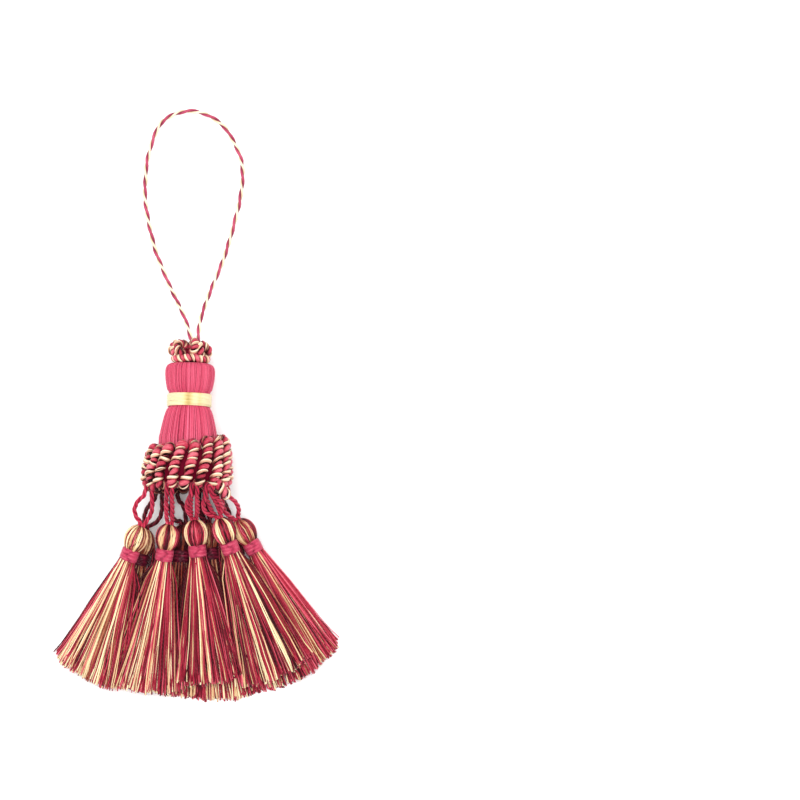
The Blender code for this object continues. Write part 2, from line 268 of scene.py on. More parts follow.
class StrandMesh:
    """Gathers rings of points, strand by strand, and makes one mesh object of them.

    Two maps go with the faces. One gives each strand's length in millimetres and the share of
    its way round. The other lays the strands out as strips, one below the other, like a tape
    that is cut into rows.
    """

    THREAD_SIDES = 6
    STRIP_GAP = 0.5 * MM
    STRIP_FILL = 0.9
    # A hair over a row's length, so that rounding starts no new row.
    ROW_SLACK = 1.0001
    # A closed end on the maps: half of how far it reaches past the strand, in gaps, and half its
    # width as a share of the way round.
    END_BULGE = 0.2
    END_HALF = 0.4

    def __init__(self) -> None:
        """Starts with no faces."""
        self.parts: list[Part] = []
        self.count = 0
        self.tape = 0.0
        self.girths: list[float] = []

    def add(self, rings: Array, slot: int, tones: Array | float, looped: bool = False) -> None:
        """Adds the skins of strands, all with equally many rings.

        Args:
            rings: Points as (strand, ring, side, xyz), with an even number of sides.
            slot: Material slot of these strands.
            tones: A shade from 0 to 1 for each strand, each of its rings or each point.
            looped: Whether each strand's last ring joins its first. Otherwise its ends close.
        """
        tones = spread(tones, rings.shape[:3])
        if looped:
            rings = np.concatenate([rings, rings[:, :1]], axis=1)
            tones = np.concatenate([tones, tones[:, :1]], axis=1)
        strands, length, sides, _ = rings.shape
        index = self.count + np.arange(strands * length * sides).reshape(strands, length, sides)
        low, high = index[:, :-1], index[:, 1:]
        quads = np.stack([low, np.roll(low, -1, 2), np.roll(high, -1, 2), high], axis=-1)

        at = walked(rings.mean(axis=2))
        room = at[:, -1] + self.STRIP_GAP
        at = at + (self.tape + np.concatenate([[0.0], np.cumsum(room)[:-1]]))[:, None]
        self.tape += float(room.sum())
        girth = np.linalg.norm(rings - np.roll(rings, -1, 2), axis=-1).sum(axis=2).mean()
        self.girths += [float(girth)] * strands

        start = np.broadcast_to(at[:, :-1, None], quads.shape[:3])
        end = np.broadcast_to(at[:, 1:, None], quads.shape[:3])
        tape = np.stack([start, start, end, end], axis=-1)
        share = np.broadcast_to(np.arange(sides) / sides, quads.shape[:3])
        next_share = share + 1 / sides
        around = np.stack([share, next_share, next_share, share], axis=-1)
        faces, tapes, arounds = ([part.reshape(-1, 4)] for part in (quads, tape, around))
        smooth = [np.ones(len(faces[0]), bool)]
        if not looped:
            for ring, place, order in ((index[:, 0], at[:, 0], -1), (index[:, -1], at[:, -1], 1)):
                for k in range(1, sides - 2, 2):
                    corners = np.array([0, k, k + 1, k + 2])[::order]
                    turn = TURN * corners / sides
                    faces.append(ring[:, corners])
                    bulge = self.END_BULGE * self.STRIP_GAP * (1 + np.cos(turn)) * order
                    tapes.append(place[:, None] + bulge)
                    middle = 0.5 + self.END_HALF * np.sin(turn)
                    arounds.append(np.broadcast_to(middle, (strands, 4)))
                    smooth.append(np.zeros(strands, bool))
        faces = np.concatenate(faces)
        self.parts.append(
            Part(
                points=rings.reshape(-1, 3),
                faces=faces,
                tape=np.concatenate(tapes),
                around=np.concatenate(arounds),
                slots=np.full(len(faces), slot, np.int32),
                tones=np.clip(tones, 0, 1).reshape(-1).astype(np.float32),
                smooth=np.concatenate(smooth),
            )
        )
        self.count += strands * length * sides

    def add_threads(
        self, lines: Array, outward: Array, radii: Array, tones: Array | float, slot: int = 0
    ) -> None:
        """Adds threads, which are thin round strands; the arguments are those of sweep and add."""
        self.add(sweep(lines, outward, radii, self.THREAD_SIDES), slot, tones)

    def make(self, name: str, materials: list[bpy.types.Material]) -> bpy.types.Object:
        """Makes the object.

        Args:
            name: The piece's name.
            materials: Its material slots, in order.

        Returns:
            The new object, linked to the scene.
        """
        joined = (np.concatenate(arrays) for arrays in zip(*self.parts))
        points, faces, tape, around, slots, tones, smooth = joined
        mesh = bpy.data.meshes.new(name)
        mesh.from_pydata(points.tolist(), [], faces.tolist())
        mesh.polygons.foreach_set("use_smooth", smooth)
        mesh.polygons.foreach_set("material_index", slots)
        self._add_map(mesh, STRAND_MAP, np.stack([tape / MM, around], axis=-1))
        self._add_map(mesh, STRIP_MAP, self._strips(tape, around))
        mesh.attributes.new(TONE, "FLOAT", "POINT").data.foreach_set("value", tones)
        for finish in materials:
            mesh.materials.append(finish)
        mesh.update()
        return placed(name, mesh)

    def _strips(self, tape: Array, around: Array) -> Array:
        """Places on the strip layout, for the corners of each face."""
        rows = max(1, round(math.sqrt(self.tape / np.mean(self.girths))))
        row_length = self.tape / rows * self.ROW_SLACK
        row = np.floor(tape.mean(axis=1) / row_length)[:, None]
        u = np.clip(tape / row_length - row, 0, 1)
        margin = (1 - self.STRIP_FILL) / 2
        v = (row + margin + self.STRIP_FILL * around) / rows
        return np.stack([u, v], axis=-1)

    @staticmethod
    def _add_map(mesh: bpy.types.Mesh, name: str, places: Array) -> None:
        """Gives a mesh one map."""
        layer = mesh.uv_layers.new(name=name, do_init=False)
        layer.uv.foreach_set("vector", places.astype(np.float32).ravel())


# ---------------------------------------------------------------------------------------------
# Shader maths
# ---------------------------------------------------------------------------------------------


class Wire:
    """A node's output, with arithmetic that adds the nodes it needs."""

    def __init__(self, tree: NodeBook, socket: bpy.types.NodeSocket) -> None:
        """Wraps a socket of a node tree."""
        self.tree = tree
        self.socket = socket

    def __add__(self, other: Wire | float) -> Wire:
        """Sum."""
        return self.tree.math("ADD", self, other)

    def __radd__(self, other: float) -> Wire:
        """Sum with a number first."""
        return self.tree.math("ADD", other, self)

    def __sub__(self, other: Wire | float) -> Wire:
        """Difference."""
        return self.tree.math("SUBTRACT", self, other)

    def __rsub__(self, other: float) -> Wire:
        """Difference from a number."""
        return self.tree.math("SUBTRACT", other, self)

    def __mul__(self, other: Wire | float) -> Wire:
        """Product."""
        return self.tree.math("MULTIPLY", self, other)

    def __rmul__(self, other: float) -> Wire:
        """Product with a number first."""
        return self.tree.math("MULTIPLY", other, self)

    def sine(self) -> Wire:
        """Sine of whole turns."""
        return self.tree.math("SINE", self * TURN, 0.0)

    def held(self) -> Wire:
        """The value kept from 0 to 1."""
        limits = {"Value": self, "Min": 0.0, "Max": 1.0}
        return self.tree.node("ShaderNodeClamp", {}, limits)


class NodeBook:
    """The nodes of one material."""

    def __init__(self, name: str) -> None:
        """Makes a material with a Principled shader."""
        self.material = bpy.data.materials.new(name)
        self.material.use_nodes = True
        self.tree = self.material.node_tree
        self.shader = self.tree.nodes["Principled BSDF"]

    def node(self, kind: str, settings: dict, sockets: dict, output: int | str = 0) -> Wire:
        """Adds a node.

        Args:
            kind: The name of the node's type.
            settings: Its properties, set first.
            sockets: Values or wires for its inputs.
            output: Which output is wanted.

        Returns:
            That output.
        """
        made = self.tree.nodes.new(kind)
        for key, value in settings.items():
            setattr(made, key, value)
        for key, value in sockets.items():
            self._put(made.inputs[key], value)
        return Wire(self, made.outputs[output])

    def math(self, operation: str, a: Wire | float, b: Wire | float) -> Wire:
        """Adds a Math node for one operation on two numbers."""
        return self.node("ShaderNodeMath", {"operation": operation}, {0: a, 1: b})

    def blend(self, share: Wire | float, low: Wire | Colour, high: Wire | Colour) -> Wire:
        """Mixes two colours; a share of 0 gives the low one."""
        low, high = (c if isinstance(c, Wire) else (*c, 1.0) for c in (low, high))
        return self.node("ShaderNodeMix", {"data_type": "RGBA"}, {0: share, 6: low, 7: high}, 2)

    def wire_up(self, sockets: dict) -> None:
        """Sets or links inputs of the shader itself."""
        for key, value in sockets.items():
            self._put(self.shader.inputs[key], value)

    def _put(self, socket: bpy.types.NodeSocket, value: Wire | float | tuple) -> None:
        """Links a wire to an input, or sets a value on it."""
        if isinstance(value, Wire):
            self.tree.links.new(value.socket, socket)
        else:
            socket.default_value = value


# ---------------------------------------------------------------------------------------------
# Finishes
# ---------------------------------------------------------------------------------------------


@dataclass(frozen=True)
class YarnFinish:
    """Shiny viscose yarn: fibres that wind round the strand, and strands of uneven shade.

    A tone of 0 is painted shade, the yarn deep in a crevice, 0.5 its own colour and 1 its palest
    fibres, which also serve as painted highlight. The lay is how many fibres cross a millimetre of
    the strand, and the grain how far tones vary.
    """

    name: str
    shade: Colour
    own: Colour
    light: Colour
    fibres: int = 6
    lay: float = 0.5
    relief: float = 0.05 * MM
    rough: float = 0.40
    gloss: float = 0.22
    sheen: float = 0.04
    grain: float = 0.22

    # The grain's pattern, and how fast it changes along a strand and with the strand's tone.
    GRAIN_DETAIL = 3.0
    GRAIN_ROUGHNESS = 0.6
    GRAIN_ALONG = 0.5
    GRAIN_BY_TONE = 41.0
    # What the fibres add to the tone and to the relief.
    FIBRE_TONE = 0.05
    FIBRE_HEIGHT = 0.5
    RELIEF_STRENGTH = 0.7
    ROUGH_SPREAD = 0.3
    SHEEN_ROUGHNESS = 0.4

    def material(self) -> bpy.types.Material:
        """Builds the material from the strand map and each strand's tone."""
        book = NodeBook(self.name)
        at = book.node("ShaderNodeUVMap", {"uv_map": STRAND_MAP}, {})
        along = book.node("ShaderNodeSeparateXYZ", {}, {0: at})
        around = Wire(book, along.socket.node.outputs[1]) * float(self.fibres)
        tone = book.node("ShaderNodeAttribute", {"attribute_name": TONE}, {}, "Fac")
        fibre = (around + along * self.lay).sine()
        place = {0: along * self.GRAIN_ALONG, 1: around, 2: tone * self.GRAIN_BY_TONE}
        pattern = {
            "Vector": book.node("ShaderNodeCombineXYZ", {}, place),
            "Scale": 1.0,
            "Detail": self.GRAIN_DETAIL,
            "Roughness": self.GRAIN_ROUGHNESS,
        }
        grain = book.node("ShaderNodeTexNoise", {}, pattern)
        value = tone + (grain - 0.5) * (2 * self.grain) + fibre * self.FIBRE_TONE
        darker = book.blend((value * 2.0).held(), self.shade, self.own)
        relief = {
            "Strength": self.RELIEF_STRENGTH,
            "Distance": self.relief,
            "Height": fibre * self.FIBRE_HEIGHT + grain,
        }
        book.wire_up(
            {
                "Base Color": book.blend((value * 2.0 - 1.0).held(), darker, self.light),
                "Roughness": self.rough + (grain - 0.5) * self.ROUGH_SPREAD,
                "Normal": book.node("ShaderNodeBump", {}, relief),
                "Specular IOR Level": self.gloss,
                "Sheen Weight": self.sheen,
                "Sheen Roughness": self.SHEEN_ROUGHNESS,
            }
        )
        return book.material


@dataclass(frozen=True)
class TableFinish:
    """A matt, pale table top with the faintest unevenness."""

    name: str = "pale_table"
    deep: Colour = (0.93, 0.93, 0.93)
    light: Colour = (0.97, 0.97, 0.97)
    patch: float = 6.0
    rough: float = 0.9

    def material(self) -> bpy.types.Material:
        """Builds the material."""
        book = NodeBook(self.name)
        at = book.node("ShaderNodeTexCoord", {}, {}, "Object")
        cloud = book.node("ShaderNodeTexNoise", {}, {"Vector": at, "Scale": self.patch})
        colour = book.blend(cloud, self.deep, self.light)
        book.wire_up({"Base Color": colour, "Roughness": self.rough})
        return book.material


@dataclass(frozen=True)
class Palette:
    """The finishes of the tassel's yarns."""

    head: YarnFinish = YarnFinish(
        "head_satin", (0.22, 0.006, 0.030), (0.56, 0.055, 0.115), (0.74, 0.14, 0.23),
        rough=0.36, fibres=3,
    )
    band: YarnFinish = YarnFinish(
        "gold_satin", (0.42, 0.28, 0.08), (0.74, 0.58, 0.27), (0.83, 0.74, 0.50),
        rough=0.32, grain=0.12,
    )
    gimp_crimson: YarnFinish = YarnFinish(
        "gimp_crimson", (0.012, 0.0, 0.001), (0.42, 0.018, 0.048), (0.78, 0.19, 0.24),
        fibres=14, lay=0.1, relief=0.12 * MM, grain=0.44,
    )
    gimp_gold: YarnFinish = YarnFinish(
        "gimp_gold", (0.16, 0.010, 0.012), (0.70, 0.38, 0.24), (0.95, 0.78, 0.56),
        fibres=10, lay=0.1, relief=0.10 * MM,
    )
    loop_crimson: YarnFinish = YarnFinish(
        "loop_crimson", (0.15, 0.012, 0.036), (0.40, 0.040, 0.095), (0.64, 0.15, 0.22),
        fibres=8, lay=0.3,
    )
    loop_gold: YarnFinish = YarnFinish(
        "loop_gold", (0.46, 0.26, 0.16), (0.82, 0.64, 0.44), (0.93, 0.82, 0.63),
        fibres=8, lay=0.3,
    )
    cord_crimson: YarnFinish = YarnFinish(
        "hanger_crimson", (0.030, 0.0, 0.003), (0.42, 0.010, 0.044), (0.76, 0.09, 0.15),
        fibres=8, lay=0.3,
    )
    binding: YarnFinish = YarnFinish(
        "binding_satin", (0.05, 0.001, 0.008), (0.47, 0.036, 0.090), (0.72, 0.15, 0.22),
        rough=0.34,
    )
    # The cores' dark crimson is painted shade in the gaps between the turns that cover them.
    core: YarnFinish = YarnFinish(
        "core_painted_shade", (0.10, 0.003, 0.012), (0.20, 0.006, 0.024), (0.26, 0.012, 0.034),
        rough=0.95, gloss=0.0, sheen=0.0,
    )
    skirt_crimson: YarnFinish = YarnFinish(
        "skirt_crimson", (0.028, 0.001, 0.003), (0.40, 0.016, 0.042), (0.76, 0.14, 0.19),
        fibres=4, lay=0.6, rough=0.34,
    )
    skirt_gold: YarnFinish = YarnFinish(
        "skirt_gold", (0.24, 0.030, 0.016), (0.76, 0.48, 0.25), (0.95, 0.81, 0.51),
        fibres=4, lay=0.6, rough=0.34,
    )

    def gimp(self) -> list[bpy.types.Material]:
        """The gimp's two yarns, crimson first."""
        return [self.gimp_crimson.material(), self.gimp_gold.material()]

    def loop(self) -> list[bpy.types.Material]:
        """The hanging loop's two yarns, crimson first."""
        return [self.loop_crimson.material(), self.loop_gold.material()]

    def skirt(self) -> list[bpy.types.Material]:
        """The small tassels' two yarns, crimson first."""
        return [self.skirt_crimson.material(), self.skirt_gold.material()]


# ---------------------------------------------------------------------------------------------
# The head's axis
# ---------------------------------------------------------------------------------------------


@dataclass(frozen=True)
class HeadAxis:
    """The slanting axis of the head, from the ruff's middle up to the collar."""

    height: float = 17.6 * MM
    tilt: float = math.radians(5.0)
    lean: float = math.radians(1.6)

    def place(self, angle: Array, radius: Array, rise: Array) -> Array:
        """Points round the axis.

        Args:
            angle: Angle round it; 0 is +X, and a quarter turn on faces up.
            radius: Distance from it.
            rise: Distance along it from the ruff's middle.

        Returns:
            The points in the frame.
        """
        turn = np.array(Euler((-math.pi / 2 - self.tilt, 0, -self.lean)).to_matrix())
        angle, radius, rise = np.broadcast_arrays(angle, radius, rise)
        local = np.stack([radius * np.cos(angle), -radius * np.sin(angle), rise], axis=-1)
        return local @ turn.T + np.array([0, 0, self.height])

    def outward(self, angle: Array) -> Array:
        """Directions straight away from the axis."""
        return self.place(angle, 1.0, 0.0) - self.place(angle, 0.0, 0.0)

    def turned(self, radius: Array, rise: Array, sides: int) -> Array:
        """Rings of a body turned round the axis.

        Args:
            radius: Its radius at each height.
            rise: The heights.
            sides: Points in each ring.

        Returns:
            Rings as (strand, point, side, xyz), with one strand.
        """
        return self.place(circle(sides)[None], radius[:, None], rise[:, None])[None, :, ::-1]


# ---------------------------------------------------------------------------------------------
# Cords
# ---------------------------------------------------------------------------------------------


@dataclass(frozen=True)
class Ply:
    """One ply of a twisted cord, and how much paler or darker than the cord it is."""

    radius: float
    offset: float
    phase: float
    yarn: Yarn
    sides: int
    tone: float = 0.0


@dataclass(frozen=True)
class Cord:
    """A twisted cord: plies that wind round a middle line.

    The arch is how far the plies are pushed back along the cord on its open side, where a wound
    cord shows its turns as arches.
    """

    plies: tuple[Ply, ...]
    lead: float
    twist: Twist
    rings_a_turn: int
    arch: float = 0.0

    FEWEST_RINGS = 8
    # Wavelengths of the twist's unrest and of the tone, in leads, and the tone's swing.
    UNREST_WAVE = 4.3
    TONE_WAVE = 2.7
    TONE_SWING = 0.16
    # How a gold ply swells where the crimson one does, and where it faces the open side.
    GOLD_SWELL = -1.5
    GOLD_STANDS = 0.12
    # Where painted shade and highlight start, how strong they are and how far they go. In the
    # creases the painted shade goes by the share of the cord's radius. On the sheltered side the
    # painted shade, and on the crests the painted highlight, go by how far a point faces the open
    # side, in radii of the first ply.
    CREASE_SHADE = (0.95, 1.35, 0.6)
    SHELTERED_SHADE = (0.95, 0.50, 1.2)
    CREST_HIGHLIGHT = (1.3, 0.14, 0.6)

    def count(self, length: float) -> int:
        """How many rings a stretch of this length needs."""
        return max(self.FEWEST_RINGS, round(length / self.lead * self.rings_a_turn))

    def fitted(self, line: Array) -> Array:
        """A line again, with as many points as the cord needs."""
        return spaced(line, self.count(walked(line)[-1]))

    def lay_along(
        self,
        mesh: StrandMesh,
        line: Array,
        rng: np.random.Generator,
        first: Array,
        unrest: float,
        tone: Array | float,
        fuller: Array | float = 0.0,
        open_side: Array | None = None,
    ) -> None:
        """Adds the cord's plies along a line.

        Args:
            mesh: Where they go.
            line: Evenly spaced middle line.
            rng: Source of the twist's unevenness and the plies' tones.
            first: A direction across the line at its start.
            unrest: How far the twist runs ahead and lags, in radians.
            tone: The yarns' shade at each point.
            fuller: How much the crimson ply swells and the gold one thins, at each point.
            open_side: The way the cord's open side faces at each point; the rest is sheltered and
            gets painted shade, and the crests get painted highlight.
        """
        across = carried(line, first)
        along = unit(np.gradient(line, axis=0))
        other = np.cross(along, across)
        at = walked(line)
        turn = self.twist.value * TURN * at / self.lead
        turn = turn + unrest * wander(rng, at, self.UNREST_WAVE * self.lead)
        for ply in self.plies:
            gold = ply.yarn is Yarn.GOLD
            angle = (turn + ply.phase)[:, None]
            out = across * np.cos(angle) + other * np.sin(angle)
            swell = 1 + np.broadcast_to(fuller, at.shape) * (self.GOLD_SWELL if gold else 1)
            middle = line + out * ply.offset
            if open_side is not None:
                shown = dot(out, open_side)
                middle = middle - along * self.arch * shown
                swell = swell * (1 + (self.GOLD_STANDS if gold else 0.0) * shown[:, 0])
            radii = ply.radius * swell
            rings = sweep(middle[None], out[None], radii[None], ply.sides)
            reach = rings[0] - line[:, None]
            # Painted shade in the creases between the plies.
            start, strength, most = self.CREASE_SHADE
            crease = start - np.linalg.norm(reach, axis=-1) / (ply.offset + radii)[:, None]
            shade = ply.tone + np.broadcast_to(tone, at.shape)
            shade = shade + self.TONE_SWING * wander(rng, at, self.TONE_WAVE * self.lead)
            shade = shade[:, None] - strength * np.clip(crease, 0, most)
            if open_side is not None:
                # Painted shade on the sheltered side, and painted highlight on the crests.
                facing = np.sum(reach * open_side[:, None], axis=-1) / self.plies[0].radius
                start, strength, most = self.SHELTERED_SHADE
                shade = shade - strength * np.clip(start - facing, 0, most)
                start, strength, most = self.CREST_HIGHLIGHT
                shade = shade + strength * np.clip(facing - start, 0, most)
            mesh.add(rings, int(ply.yarn), shade[None])


@dataclass(frozen=True)
class Slip:
    """A spot where the gimp has thinned: how often, how much, between where, and how wide."""

    chance: float
    depth: float
    where: Pair
    width: float

    def thins(self, rng: np.random.Generator, share: Array) -> Array:
        """How much a turn of the gimp thins at shares of its length."""
        depth = (rng.random() < self.chance) * self.depth
        return depth * bell(share, rng.uniform(*self.where), self.width)


# ---------------------------------------------------------------------------------------------
# Sub-assemblies
# ---------------------------------------------------------------------------------------------


def settle(piece: bpy.types.Object, slot: str, *nodes: str) -> None:
    """Makes a piece ride on the tassel and hides the nodes that it stands for."""
    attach(piece, "root")
    if nodes:
        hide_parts(*nodes)
    LOG.info("%s: %d faces", piece.name, len(piece.data.polygons))


@dataclass
class HangingLoop:
    """The cord to hang it by: a crimson and a gold ply twisted together, laid in a loop."""

    diameter: float = 1.8 * MM
    cord: Cord = Cord(
        plies=(
            Ply(0.57 * MM, 0.35 * MM, 0.0, Yarn.CRIMSON, 10),
            Ply(0.45 * MM, 0.47 * MM, math.pi, Yarn.GOLD, 10, 0.12),
        ),
        lead=9.6 * MM,
        twist=Twist.S,
        rings_a_turn=18,
    )
    unrest: float = 0.5
    tone: float = 0.54
    route: tuple[Point, ...] = (
        (0.0015, 0.0488, 0.0143), (-0.0009, 0.0572, 0.0112), (-0.0041, 0.0642, 0.0083),
        (-0.0072, 0.0706, 0.0056), (-0.0101, 0.0776, 0.0033), (-0.0127, 0.0840, 0.0018),
        (-0.0149, 0.0923, 0.0011), (-0.0165, 0.1006, 0.0010), (-0.0172, 0.1069, 0.0010),
        (-0.0170, 0.1133, 0.0010), (-0.0165, 0.1197, 0.0010), (-0.0152, 0.1254, 0.0010),
        (-0.0133, 0.1312, 0.0010), (-0.0104, 0.1363, 0.0010), (-0.0060, 0.1393, 0.0010),
        (-0.0018, 0.1405, 0.0010), (0.0023, 0.1407, 0.0010), (0.0068, 0.1396, 0.0010),
        (0.0112, 0.1372, 0.0010), (0.0151, 0.1337, 0.0010), (0.0182, 0.1286, 0.0010),
        (0.0208, 0.1229, 0.0010), (0.0218, 0.1171, 0.0010), (0.0216, 0.1108, 0.0010),
        (0.0205, 0.1038, 0.0010), (0.0189, 0.0974, 0.0010), (0.0170, 0.0904, 0.0011),
        (0.0144, 0.0821, 0.0018), (0.0116, 0.0750, 0.0034), (0.0090, 0.0687, 0.0058),
        (0.0064, 0.0616, 0.0089), (0.0048, 0.0559, 0.0115), (0.0040, 0.0490, 0.0140),
    )

    SEED = 11
    # Points of the line on which the length is measured.
    FINE = 400

    def build(self, palette: Palette) -> None:
        rng = np.random.default_rng(self.SEED)
        knots = np.array(self.route)
        length = float(walked(smooth_line(knots, self.FINE))[-1])
        line = smooth_line(knots, self.cord.count(length))
        mesh = StrandMesh()
        self.cord.lay_along(mesh, line, rng, UP, self.unrest, self.tone)
        piece = mesh.make("hanging_loop_cord", palette.loop())
        settle(piece, "cord_two_tone", "hanging_loop")
        LOG.info("the hanging loop's cord is %.0f mm long", length / MM)


@dataclass
class Head:
    """The turned mould with satin threads laid over it from end to end."""

    axis: HeadAxis
    threads: int = 172
    # Radius and height along the axis in mm, from under the foot to under the collar.
    outline: tuple[Pair, ...] = (
        (1.0, -9.0), (6.0, -9.1), (10.2, -9.1), (11.5, -8.6), (11.8, -7.0), (11.8, 9.6),
        (11.5, 11.4), (10.75, 15.3), (9.7, 19.4), (8.75, 21.8), (8.1, 22.8), (8.1, 27.8),
        (8.8, 28.8), (9.35, 30.7), (9.8, 33.4), (10.0, 36.2), (9.8, 38.0), (9.1, 39.2),
        (7.6, 39.9), (5.6, 40.1),
    )
    rings: int = 52
    tone: float = 0.58
    # How far the mould lies under the outline.
    sunk: float = 0.416 * MM
    mould_sides: int = 48
    mould_tone: float = 0.3

    SEED = 21
    # A thread's width over its share of the girth, how that varies, and how its place does.
    OVERLAP = 1.12
    WIDTHS = (0.92, 1.08)
    UNEVEN = 0.16
    # How far a thread sways, in threads, and its tone does, each with its wavelength.
    SWAY, SWAY_WAVE = 0.12, 38 * MM
    FADE, FADE_WAVE = 0.10, 24 * MM
    # How deep in mm level threads lie and those that slipped, and from one of those to the next
    # how many threads it is at least, and is always less than.
    LEVEL = (0.0, 0.07)
    SLIPPED = (0.10, 0.28)
    APART = (2, 9)
    # The radius at which a thread lies at its full depth, and the most it may lie elsewhere.
    FULL_RADIUS = 9 * MM
    MOST_DEPTH = 1.2
    # How tones vary, how much darker a thread is for each mm of depth, as painted shade where it
    # lies deeper, and how much stronger both are low down, from which height and over how much.
    TONE_SPREAD = 0.15
    DEPTH_TONE = 1.3
    LOWER = (0.7, 22 * MM, 12 * MM)

    def build(self, palette: Palette) -> None:
        """Builds the threads and the mould under them."""
        rng = np.random.default_rng(self.SEED)
        line = smooth_line(np.array(self.outline) * MM, self.rings)
        radius, rise = line[:, 0], line[:, 1]
        slope = np.gradient(line, axis=0)
        out_r, out_h = unit(np.stack([slope[:, 1], -slope[:, 0]], axis=1)).T
        count = self.threads
        base = TURN * (np.arange(count) + rng.uniform(-self.UNEVEN, self.UNEVEN, count)) / count
        sway = wanders(rng, rise, self.SWAY_WAVE, count) * self.SWAY * TURN / count
        angle = base[:, None] + sway
        depth = self._depths(rng)
        half = math.pi * radius / count * self.OVERLAP
        full = np.clip(radius / self.FULL_RADIUS, 0, self.MOST_DEPTH)
        inset = half[None] + depth[:, None] * full[None]
        lines = self.axis.place(angle, radius - out_r * inset, rise - out_h * inset)
        inset = inset + MM
        deeper = self.axis.place(angle, radius - out_r * inset, rise - out_h * inset)
        radii = np.repeat(half[None], count, axis=0) * rng.uniform(*self.WIDTHS, (count, 1))
        fade = wanders(rng, rise, self.FADE_WAVE, count) * self.FADE
        more, start, run = self.LOWER
        lower = 1 + more * np.clip((start - rise) / run, 0, 1)
        # A thread's own tone, less painted shade for how deep it lies.
        own = rng.normal(0, self.TONE_SPREAD, count) - self.DEPTH_TONE * depth / MM
        mesh = StrandMesh()
        mesh.add_threads(lines, lines - deeper, radii, self.tone + own[:, None] * lower + fade)
        settle(mesh.make("head_threads", [palette.head.material()]), "satin_crimson", "head")

        mould = StrandMesh()
        sunk_r, sunk_h = radius - out_r * self.sunk, rise - out_h * self.sunk
        mould.add(self.axis.turned(sunk_r, sunk_h, self.mould_sides), 0, self.mould_tone)
        settle(mould.make("head_mould", [palette.head.material()]), "satin_crimson")

    def _depths(self, rng: np.random.Generator) -> Array:
        """How deep each thread lies: most lie level, and here and there one has slipped down."""
        depth = rng.uniform(*self.LEVEL, self.threads)
        at = 0
        while at < self.threads:
            depth[at] = rng.uniform(*self.SLIPPED)
            at += int(rng.integers(*self.APART))
        return depth * MM


@dataclass
class GoldBand:
    """Fine gold thread wound round the head's waist."""

    axis: HeadAxis
    bottom: float = 22.5 * MM
    top: float = 28.0 * MM
    outside: float = 9.0 * MM
    turns: int = 13
    steps: int = 84
    tone: float = 0.82
    # Patches of painted sheen, where the satin is darker: how dark, at how many degrees round, and
    # how wide by the sine of half an angle.
    painted_sheen_patches: tuple[Triple, ...] = ((0.62, 92, 0.085), (0.22, 62, 0.05))

    SEED = 31
    # The thread's width over its share of the band.
    OVERLAP = 1.12
    # Where in a turn the step up to the next one starts, and how long it is.
    STEP = (0.86, 0.14)
    # Swings, and wavelengths in turns: of the height and the radius in mm, and of the tone.
    RISE_WAVES = ((0.05, 1.7),)
    RADIUS_WAVES = ((0.06, 0.83),)
    TONE_WAVES = ((0.12, 0.37), (0.1, 2.3))
    # How far the outermost turns are drawn in, and over how many turns.
    DRAWN_IN = (0.28 * MM, 0.9)

    def build(self, palette: Palette) -> None:
        """Builds the winding."""
        rng = np.random.default_rng(self.SEED)
        thread = (self.top - self.bottom) / self.turns / 2 * self.OVERLAP
        count = self.turns * self.steps
        turn = np.linspace(0, self.turns, count)
        whole = np.floor(np.minimum(turn, self.turns - 1e-6))
        start, run = self.STEP
        eased = whole + np.clip((np.clip(turn - whole, 0, 1) - start) / run, 0, 1)
        low, high = self.bottom + thread, self.top - thread
        rise = low + (high - low) * eased / self.turns + swings(rng, turn, self.RISE_WAVES) * MM
        radius = self.outside - thread + swings(rng, turn, self.RADIUS_WAVES) * MM
        depth, width = self.DRAWN_IN
        radius -= depth * bell(np.minimum(turn, self.turns - turn), 0.0, width)
        angle = TURN * turn - math.pi / 2
        line = self.axis.place(angle, radius, rise)
        tones = self.tone
        # Painted sheen: the satin is darker in these patches.
        for depth, side, width in self.painted_sheen_patches:
            tones = tones - depth * bell(np.sin((angle - math.radians(side)) / 2), 0.0, width)
        tones = tones + swings(rng, turn, self.TONE_WAVES)
        mesh = StrandMesh()
        radii = np.full((1, count), thread)
        mesh.add_threads(line[None], self.axis.outward(angle)[None], radii, tones[None])
        settle(mesh.make("gold_band_winding", [palette.band.material()]), "satin_gold", "gold_band")


